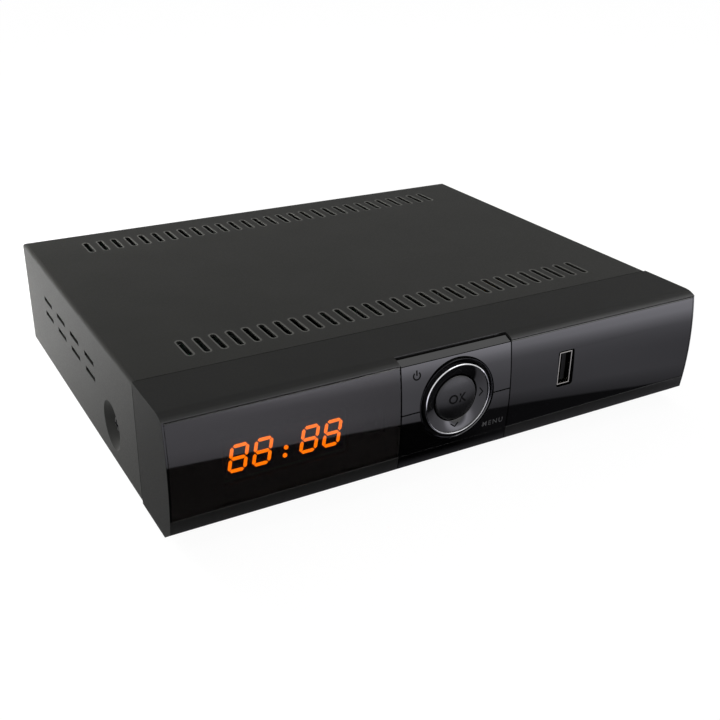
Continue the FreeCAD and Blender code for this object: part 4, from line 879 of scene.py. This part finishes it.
def trim():
    """Bright ring whose crest stands beside the pad and slopes away outwards."""
    profile = near(PAD_RIM, RING_LOW.y, (0, 0.25), (0.03, 0.09), (0.09, 0.02), (0.15, 0), (0.22, 0.03),
                   (0.44, 0.16), (0.50, 0.26)) + near(PAD_RIM, RING_HIGH.y, (0.50, 0), (0, 0))
    turned("bright_ring", "nav_trim_ring", profile, [RING_AXIS])


def button():
    """Domed button with a rolled rim, its stem and the word on it."""
    low, high = span("ok_button")
    radius, dome, roll, half = (high.x - low.x) / 2, 33.0, 0.55, 1.7
    flat = radius - roll

    def crown(reach):
        return low.y + dome - math.sqrt(dome ** 2 - reach ** 2)

    profile = [(flat * i / 12, crown(flat * i / 12)) for i in range(13)]
    rim_y = profile[-1][1] + roll * 0.8
    for i in range(1, 7):
        turn = math.pi / 2 * i / 6
        profile.append((flat + roll * math.sin(turn), rim_y - roll * 0.8 * math.cos(turn)))
    profile += [(radius, CROWN + 3.2), (0.0, CROWN + 3.2)]
    bm = bmesh.new()
    lathe(bm, profile, RING_AXIS)
    brick(bm, (RING_X - half, CROWN + 3.0, RING_Z - half), (RING_X + half, high.y, RING_Z + half))
    piece("centre_button", bm, "ok_button")
    word = lettering("OK", 4.8, 1.12, 0.10)
    lay_on_ring(word, crown)
    printed("button_word", word, "ok_button", ink("black_screen_ink", finishes().print_dark))


def arrows():
    """Four small chevrons on the pad."""
    length, width, lean, apart, away = 2.1, 0.42, math.radians(38), 0.79, 10.7
    bm = bmesh.new()
    for turn in range(4):
        before = set(bm.verts)
        for side in (-1, 1):
            others = set(bm.verts)
            brick(bm, (-length / 2, -ink_height(), -width / 2), (length / 2, 0.0, width / 2))
            bar = [vert for vert in bm.verts if vert not in others]
            bmesh.ops.rotate(bm, cent=(0, 0, 0), verts=bar, matrix=Matrix.Rotation(side * lean, 3, "Y"))
            bmesh.ops.translate(bm, vec=(side * apart, 0.0, 0.0), verts=bar)
        mark = [vert for vert in bm.verts if vert not in before]
        bmesh.ops.translate(bm, vec=(0.0, 0.0, away), verts=mark)
        bmesh.ops.rotate(bm, cent=(0, 0, 0), verts=mark, matrix=Matrix.Rotation(turn * math.pi / 2, 3, "Y"))
    lay_on_ring(bm, lambda reach: CROWN + 1.3 - 1.1 * (reach - PAD_HOLE) / (PAD_RIM - PAD_HOLE))
    printed("way_marks", bm, "nav_pad", ink("arrow_screen_ink", 0x1E1E1F))


class RECEIVER_OT_front_socket(ReceiverOperator, bpy.types.Operator):
    """Upright socket in the right-hand face"""

    bl_idname = "receiver.front_socket"
    bl_label = "Front socket"

    def execute(self, context):
        dress(0.08, "usb_shell", "usb_tongue")
        dress(0.0, "usb_contacts")
        return {"FINISHED"}


class RECEIVER_OT_rear_sockets(ReceiverOperator, bpy.types.Operator):
    """Aerial, picture, sound and mains sockets on the rear"""

    bl_idname = "receiver.rear_sockets"
    bl_label = "Rear sockets"

    def execute(self, context):
        for node in AERIALS:
            aerial_socket(node)
        for node in COLLARS:
            collar(node)
        sleeves()
        inserts()
        dress(0.12, "scart_socket")
        dress(0.15, "mains_inlet")
        dress(0.05, "hdmi_shell", "hdmi_tongue")
        dress(0.3, "av_jack_block")
        pins()
        return {"FINISHED"}


def aerial_socket(node):
    """Hexagonal shoulder and a threaded barrel with an open mouth."""
    low, high = span(node)
    x, _, z = axis = rearward(node)
    shoulder = REAR_WALL + 2.25
    bore, outer, pitch = 3.55, 4.76, sizes().thread_pitch / MM
    root = outer - pitch * 0.55
    profile = [(bore, shoulder - 4.0), (bore, high.y - 0.25), (bore + 0.25, high.y), (root, high.y)]
    y = high.y - 0.35
    while y - pitch > shoulder:
        profile += [(root, y), (outer, y - pitch * 0.4), (outer, y - pitch * 0.6), (root, y - pitch)]
        y -= pitch
    profile += [(root, shoulder - 4.0)]
    bm = bmesh.new()
    lathe(bm, profile, axis, steps=64, closed=True)
    corner = 5.5 / math.cos(math.pi / 6)
    turns = [FULL_TURN * (i + 0.5) / 6 for i in range(6)]
    hexagon = [(x + corner * math.sin(turn), 0.0, z + corner * math.cos(turn)) for turn in turns]
    drawn_out(bm, hexagon, (0.0, REAR_WALL + 0.05, 0.0), (0.0, 2.2, 0.0))
    lathe(bm, [(bore, low.y), (outer, low.y), (outer, REAR_WALL), (bore, REAR_WALL)], axis, steps=48, closed=True)
    piece(f"{node}_barrel", bm, node)


def collar(node):
    low, high = span(node)
    outer = (high.x - low.x) / 2
    profile = [(4.65, low.y), (outer, low.y), *near(outer, high.y, (0, -0.5), (-0.15, -0.15), (-0.5, 0)),
               (4.85, high.y), (4.65, high.y - 0.2)]
    turned(f"{node}_ring", node, profile, [rearward(node)], steps=56)


def sleeves():
    low, high = span("jack_sleeves")
    end = span("jack_collar_video")[1].y
    profile = [(3.45, low.y), (4.6, low.y), (4.6, end), (4.15, end)]
    profile += near(0, high.y, (4.15, -0.5), (4.05, -0.15), (3.85, 0), (3.6, 0), (3.45, -0.15))
    turned("jack_sleeve_row", "jack_sleeves", profile, map(rearward, COLLARS), steps=56)


def inserts():
    """Insulators in the mouths of the phono and aerial sockets, each with its contact hole."""
    low, high = span("jack_sleeves")
    end = high.y - 0.6
    phono = [(0.0, low.y + 1), (1.55, low.y + 1), *near(0, end, (1.55, -0.3), (1.85, 0), (3.1, 0), (3.35, -0.2)),
             (3.35, low.y), (0.0, low.y)]
    bm = bmesh.new()
    for node in COLLARS:
        lathe(bm, phono, rearward(node), steps=40)
    for node in AERIALS:
        end = span(node)[1].y - 1.0
        aerial = near(0, end, (0, -6), (0.45, -6), (0.45, -0.2), (0.7, 0), (3.2, 0), (3.45, -0.25))
        aerial += [(3.45, REAR_WALL), (0.0, REAR_WALL)]
        lathe(bm, aerial, rearward(node), steps=40)
    piece("socket_cores", bm, "socket_inserts")


def pins():
    low, high = span("inlet_pins")
    profile = [(0.0, low.y), (1.18, low.y), *near(0, high.y, (1.18, -0.7), (0.95, -0.2), (0.6, 0), (0, 0))]
    z = (low.z + high.z) / 2
    turned("mains_pins", "inlet_pins", profile, [(x, 0.0, z) for x in (low.x + 1.2, high.x - 1.2)],
           steps=32, closed=False)


class RECEIVER_OT_electronics(ReceiverOperator, bpy.types.Operator):
    """Boards, chips, tuner, power parts and leads"""

    bl_idname = "receiver.electronics"
    bl_label = "Electronics"

    def execute(self, context):
        dress(0.0, "main_pcb", "power_pcb", "insulation_sheet", "board_standoffs", "inner_screws",
              "chip_heatsink", "power_heatsink", "ribbon_lead", "power_lead")
        dress(0.12, "decoder_chip", "memory_chips", "tuner_can", "tuner_lid", "lead_headers",
              "transformer_core", "transformer_winding", "mains_fuse")
        flap()
        cans("bulk_capacitor", "bulk_can", [middle("bulk_capacitor").xy], 9.0)
        low, high = span("output_capacitors")
        radius = 5.0
        left, right, front, rear = low.x + radius, high.x - radius, low.y + radius, high.y - radius
        cans("output_capacitors", "output_cans", ((left, rear), (right, rear), (left, front)), radius)
        choke()
        return {"FINISHED"}


def flap():
    """Flap of film that stands between the mains side of the power board and the slotted wall. Its dark colour is
    painted shade, which keeps what shows through the vent slots dark.
    """
    bm = bmesh.new()
    brick(bm, (106.6, -24.0, 14.0), (107.0, 58.0, 41.0))
    # Dark and matt, with a faint felt of short fibres: painted shade inside the case.
    shade_sheet = solid_finish("dark_flap_painted_shade", 0x1E1E1D, 0.7, grain=0.4, relief=0.01)
    piece("film_flap", bm, slot="film_clear", body="case", material=shade_sheet)


def cans(node, name, spots, radius):
    """Round cans with a groove near the foot and a rolled top."""
    low, high = span(node)
    profile = [(0.0, low.z), *near(radius, low.z, (-0.3, 0), (0, 0.4), (0, 1.4), (-0.5, 1.9), (0, 2.4)),
               *near(radius, high.z, (0, -0.6), (-0.25, -0.1), (-0.7, 0), (-1.2, -0.25)),
               (0.0, high.z - 0.25)]
    turned(name, node, profile, [(x, y, 0.0) for x, y in spots], "Z", 48, closed=False)


def choke():
    """Ring core wound with lacquered wire."""
    low, high = span("line_filter")
    centre = middle("line_filter")
    outer, inner, slack = (high.x - low.x) / 2, 3.6, 0.1
    wide, tall = (outer - inner) / 2 - slack, (high.z - low.z) / 2 - slack
    turns = [FULL_TURN * i / 20 for i in range(20)]
    profile = [((outer + inner) / 2 + wide * math.cos(turn), centre.z + tall * math.sin(turn)) for turn in turns]
    turned("wound_choke", "line_filter", profile, [(centre.x, centre.y, 0.0)], "Z", 56)


class RECEIVER_OT_stage(ReceiverOperator, bpy.types.Operator):
    """Floor, soft light, surroundings and camera"""

    bl_idname = "receiver.stage"
    bl_label = "Stage"

    def execute(self, context):
        camera(context)
        floor()
        reflector()
        edge_card()
        flag()
        side_card()
        surroundings(context)
        lamp("key_lamp", (0.34, 0.20, 1.08), (0.0, 0.02, 0.02), 1.2, lights().key_power)
        lamp("side_lamp", (-0.21, 0.26, 0.08), (-0.11, 0.10, 0.03), 0.10, lights().side_power)
        context.scene.view_settings.view_transform = "Standard"
        return {"FINISHED"}


def camera(context):
    """Looks down on the front left corner."""
    heading, dip, roll = math.radians(30.10), math.radians(25.616), math.radians(1.046)
    data = bpy.data.cameras.new("camera")
    data.lens = 49.156
    data.sensor_width = 36.0
    data.clip_start = 0.01
    data.clip_end = 20.0
    obj = placed("camera", data)
    turn = (Matrix.Rotation(-heading, 4, "Z") @ Matrix.Rotation(math.pi / 2 - dip, 4, "X")
            @ Matrix.Rotation(roll, 4, "Z"))
    obj.matrix_world = Matrix.Translation((-0.18620, -0.34083, 0.19038)) @ turn
    context.scene.camera = obj


def floor():
    """Pale floor that shows white to the camera and keeps the object's shadow."""
    bm = bmesh.new()
    bmesh.ops.create_circle(bm, cap_ends=True, segments=96, radius=4.0)
    bmesh.ops.translate(bm, vec=(0.0, 0.0, -0.00005), verts=bm.verts)
    # Matt wall paint: it takes the shadow softly and hardly shines.
    material, tree, where = blank("painted_floor")
    noise = add(tree, "TexNoise", {"Vector": where, "Scale": 12.0}).outputs["Fac"]
    rough = add(tree, "MapRange", (noise, 0.0, 1.0, 0.75, 0.9))
    paint = add(tree, "BsdfPrincipled", {"Base Color": (0.80, 0.80, 0.80, 1.0), "Roughness": rough, SHINE: 0.1})
    glow = add(tree, "Emission", {"Color": WHITE, "Strength": 1.16})
    share = add(tree, "Math", (seen(tree), 0.82), operation="MULTIPLY")
    close(tree, add(tree, "MixShader", {0: share, 1: paint, 2: glow}))
    stage_object("floor", bm, material)


def stage_object(name, bm, material):
    obj = placed(name, mesh_of(name, bm))
    obj.data.materials.append(material)
    return obj


def card(name, bm, material, strength, colour=WHITE):
    """A card that glows and that only gloss sees. It closes the card's material."""
    tree = material.node_tree
    close(tree, add(tree, "Emission", {"Color": colour, "Strength": strength}))
    obj = stage_object(name, bm, material)
    for ray in ("camera", "diffuse", "shadow", "transmission", "volume_scatter"):
        setattr(obj, f"visible_{ray}", False)


def even_card(name, finish, bm, scale, low, high):
    """A card whose glow wanders a little between two strengths."""
    material, tree, where = blank(finish)
    level = add(tree, "TexNoise", {"Vector": where, "Scale": scale}).outputs["Fac"]
    card(name, bm, material, add(tree, "MapRange", (level, 0.0, 1.0, low, high)))


def quad(corners):
    """A bmesh of one face, in metres."""
    bm = bmesh.new()
    bm.faces.new([bm.verts.new(corner) for corner in corners])
    return bm


def flat_card(left, right, front, rear):
    """A bmesh of an oblong that lies just above the floor, in metres."""
    rise = 0.0002
    return quad(((left, front, rise), (right, front, rise), (right, rear, rise), (left, rear, rise)))


def reflector():
    """Card in front that only gloss reflects: black near the object, then grey that grows paler."""
    material, tree, where = blank("graded_card")
    axes = add(tree, "SeparateXYZ", {"Vector": where}).outputs
    smooth = {"interpolation_type": "SMOOTHSTEP"}
    # the card's dark part ends along a line that passes two points in front of the object
    first, second = Vector((-0.091, -0.159)), Vector((0.126, -0.104))
    slope = (second.y - first.y) / (second.x - first.x)
    along = add(tree, "Math", (axes["X"], slope, first.y - slope * first.x), operation="MULTIPLY_ADD")
    bend = add(tree, "MapRange", (axes["X"], -0.08, 0.0, 0.0, 0.0035), **smooth)
    along = add(tree, "Math", (along, bend))
    ahead = add(tree, "Math", (along, axes["Y"]), operation="SUBTRACT")
    reach = add(tree, "MapRange", (ahead, 0.0, 0.9))
    # how the grey runs forward from that line at the left, at the right and beyond the right end
    greys = []
    for stops in (((0.0, 0.26), (0.03, 0.36), (0.17, 0.42), (0.33, 0.40), (0.75, 0.34)),
                  ((0.0, 0.08), (0.02, 0.19), (0.06, 0.24), (0.12, 0.33), (0.2, 0.66), (0.33, 0.88), (0.5, 0.5),
                   (0.75, 0.3)),
                  ((0.0, 0.05), (0.02, 0.10), (0.06, 0.16), (0.12, 0.30), (0.2, 0.80), (0.33, 1.0), (0.5, 0.5),
                   (0.75, 0.3))):
        greys.append(add(tree, "ValToRGB", {"Fac": reach}))
        elements = greys[-1].color_ramp.elements
        while len(elements) < len(stops):
            elements.new(1.0)
        for element, (place, grey) in zip(elements, stops):
            element.position = place
            element.color = (grey, grey, grey, 1.0)
    left, right, edge = greys
    across = add(tree, "MapRange", (axes["X"], -0.05, 0.05), **smooth)
    level = add(tree, "Mix", {0: across, 6: left, 7: right}, data_type="RGBA").outputs[2]
    end = add(tree, "MapRange", (axes["X"], 0.09, 0.20), **smooth)
    level = add(tree, "Mix", {0: end, 6: level, 7: edge}, data_type="RGBA").outputs[2]
    beyond = add(tree, "MapRange", (ahead, -0.001, 0.001))
    dark = add(tree, "MapRange", (across, 0.6, 1.0, 0.0, 0.5))
    strength = add(tree, "MapRange", (beyond, 0.0, 1.0, dark, 3.0))
    sill = add(tree, "MapRange", (axes["Y"], -0.1035, -0.0945, 0.0, 0.42), **smooth)
    glow = add(tree, "Math", (level, strength, sill), operation="MULTIPLY_ADD")
    card("gloss_card", flat_card(-0.75, 0.75, -0.85, -0.088), material, glow, (1.0, 0.985, 1.09, 1))


def edge_card():
    """Soft box up in front: it draws a fine light line along chamfers and rolls."""
    aim, away = Vector((0.527, -0.462, 0.712)), 0.7
    turn = aim.to_track_quat("Z", "Y").to_matrix().to_4x4()
    bm = bmesh.new()
    bmesh.ops.create_grid(bm, x_segments=1, y_segments=1, size=0.26,
                          matrix=Matrix.Translation(aim * away) @ turn @ Matrix.Diagonal((1.6, 0.45, 1, 1)))
    even_card("edge_card", "edge_card", bm, 2.0, 3.0, 3.6)


def flag():
    """Dark cloth behind the object: it keeps the top from washing out."""
    bm = quad(((-0.9, 1.0, 0.05), (2.4, 0.9, 0.30), (2.4, 0.9, 1.7), (-0.9, 1.0, 1.7)))
    even_card("dark_flag", "dark_cloth", bm, 3.0, 0.10, 0.14)


def side_card():
    """Card on the floor left of the object: dark at the front, pale at the rear."""
    material, tree, where = blank("side_card")
    depth = add(tree, "SeparateXYZ", {"Vector": where}).outputs["Y"]
    level = add(tree, "MapRange", (depth, -0.06, 0.14, 0.35, 1.45), interpolation_type="SMOOTHSTEP")
    card("side_card", flat_card(-0.6, -0.1105, -0.087, 0.3), material, level)


def surroundings(context):
    """White to the camera and to gloss, softer as a source of light."""
    world = bpy.data.worlds.new("studio")
    world.use_nodes = True
    tree = world.node_tree
    tree.nodes.clear()
    level = add(tree, "MapRange", (seen(tree), 0.0, 1.0, lights().ambient, 1.0))
    sky = add(tree, "Background", {"Color": WHITE, "Strength": level})
    add(tree, "OutputWorld", {"Surface": sky})
    context.scene.world = world


def lamp(name, place, target, size, power):
    """A round lamp that points from a place to a target."""
    data = bpy.data.lights.new(name, "AREA")
    data.shape = "DISK"
    data.size = size
    data.energy = power
    obj = placed(name, data)
    obj.visible_glossy = False
    aim = Vector(target) - Vector(place)
    obj.matrix_world = Matrix.Translation(place) @ aim.to_track_quat("-Z", "Y").to_matrix().to_4x4()


OPERATORS = (RECEIVER_OT_stage, RECEIVER_OT_case, RECEIVER_OT_panel, RECEIVER_OT_keys, RECEIVER_OT_ring,
             RECEIVER_OT_front_socket, RECEIVER_OT_rear_sockets, RECEIVER_OT_electronics)
GROUPS = {"receiver_finish": ReceiverFinish, "receiver_sizes": ReceiverSizes, "receiver_light": ReceiverLight}


class RECEIVER_PT_panel(bpy.types.Panel):
    """Sidebar panel that lists the steps."""

    bl_idname = "RECEIVER_PT_panel"
    bl_label = "Receiver"
    bl_space_type = "VIEW_3D"
    bl_region_type = "UI"
    bl_category = "Receiver"

    def draw(self, context):
        for group in GROUPS:
            settings = getattr(context.scene, group)
            for name in settings.__annotations__:
                self.layout.prop(settings, name)
        for operator in OPERATORS:
            self.layout.operator(operator.bl_idname)


CLASSES = (*GROUPS.values(), *OPERATORS, RECEIVER_PT_panel)


def register():
    for item in CLASSES:
        bpy.utils.register_class(item)
    for name, group in GROUPS.items():
        setattr(bpy.types.Scene, name, PointerProperty(type=group))


def unregister():
    for name in GROUPS:
        delattr(bpy.types.Scene, name)
    for item in reversed(CLASSES):
        bpy.utils.unregister_class(item)


def main():
    register()
    MATERIALS.update(all_materials())
    bpy.ops.receiver.stage()
    bpy.ops.receiver.case()
    bpy.ops.receiver.panel()
    bpy.ops.receiver.keys()
    bpy.ops.receiver.ring()
    bpy.ops.receiver.front_socket()
    bpy.ops.receiver.rear_sockets()
    bpy.ops.receiver.electronics()
    bpy.context.view_layer.update()


if __name__ == "__main__":
    main()
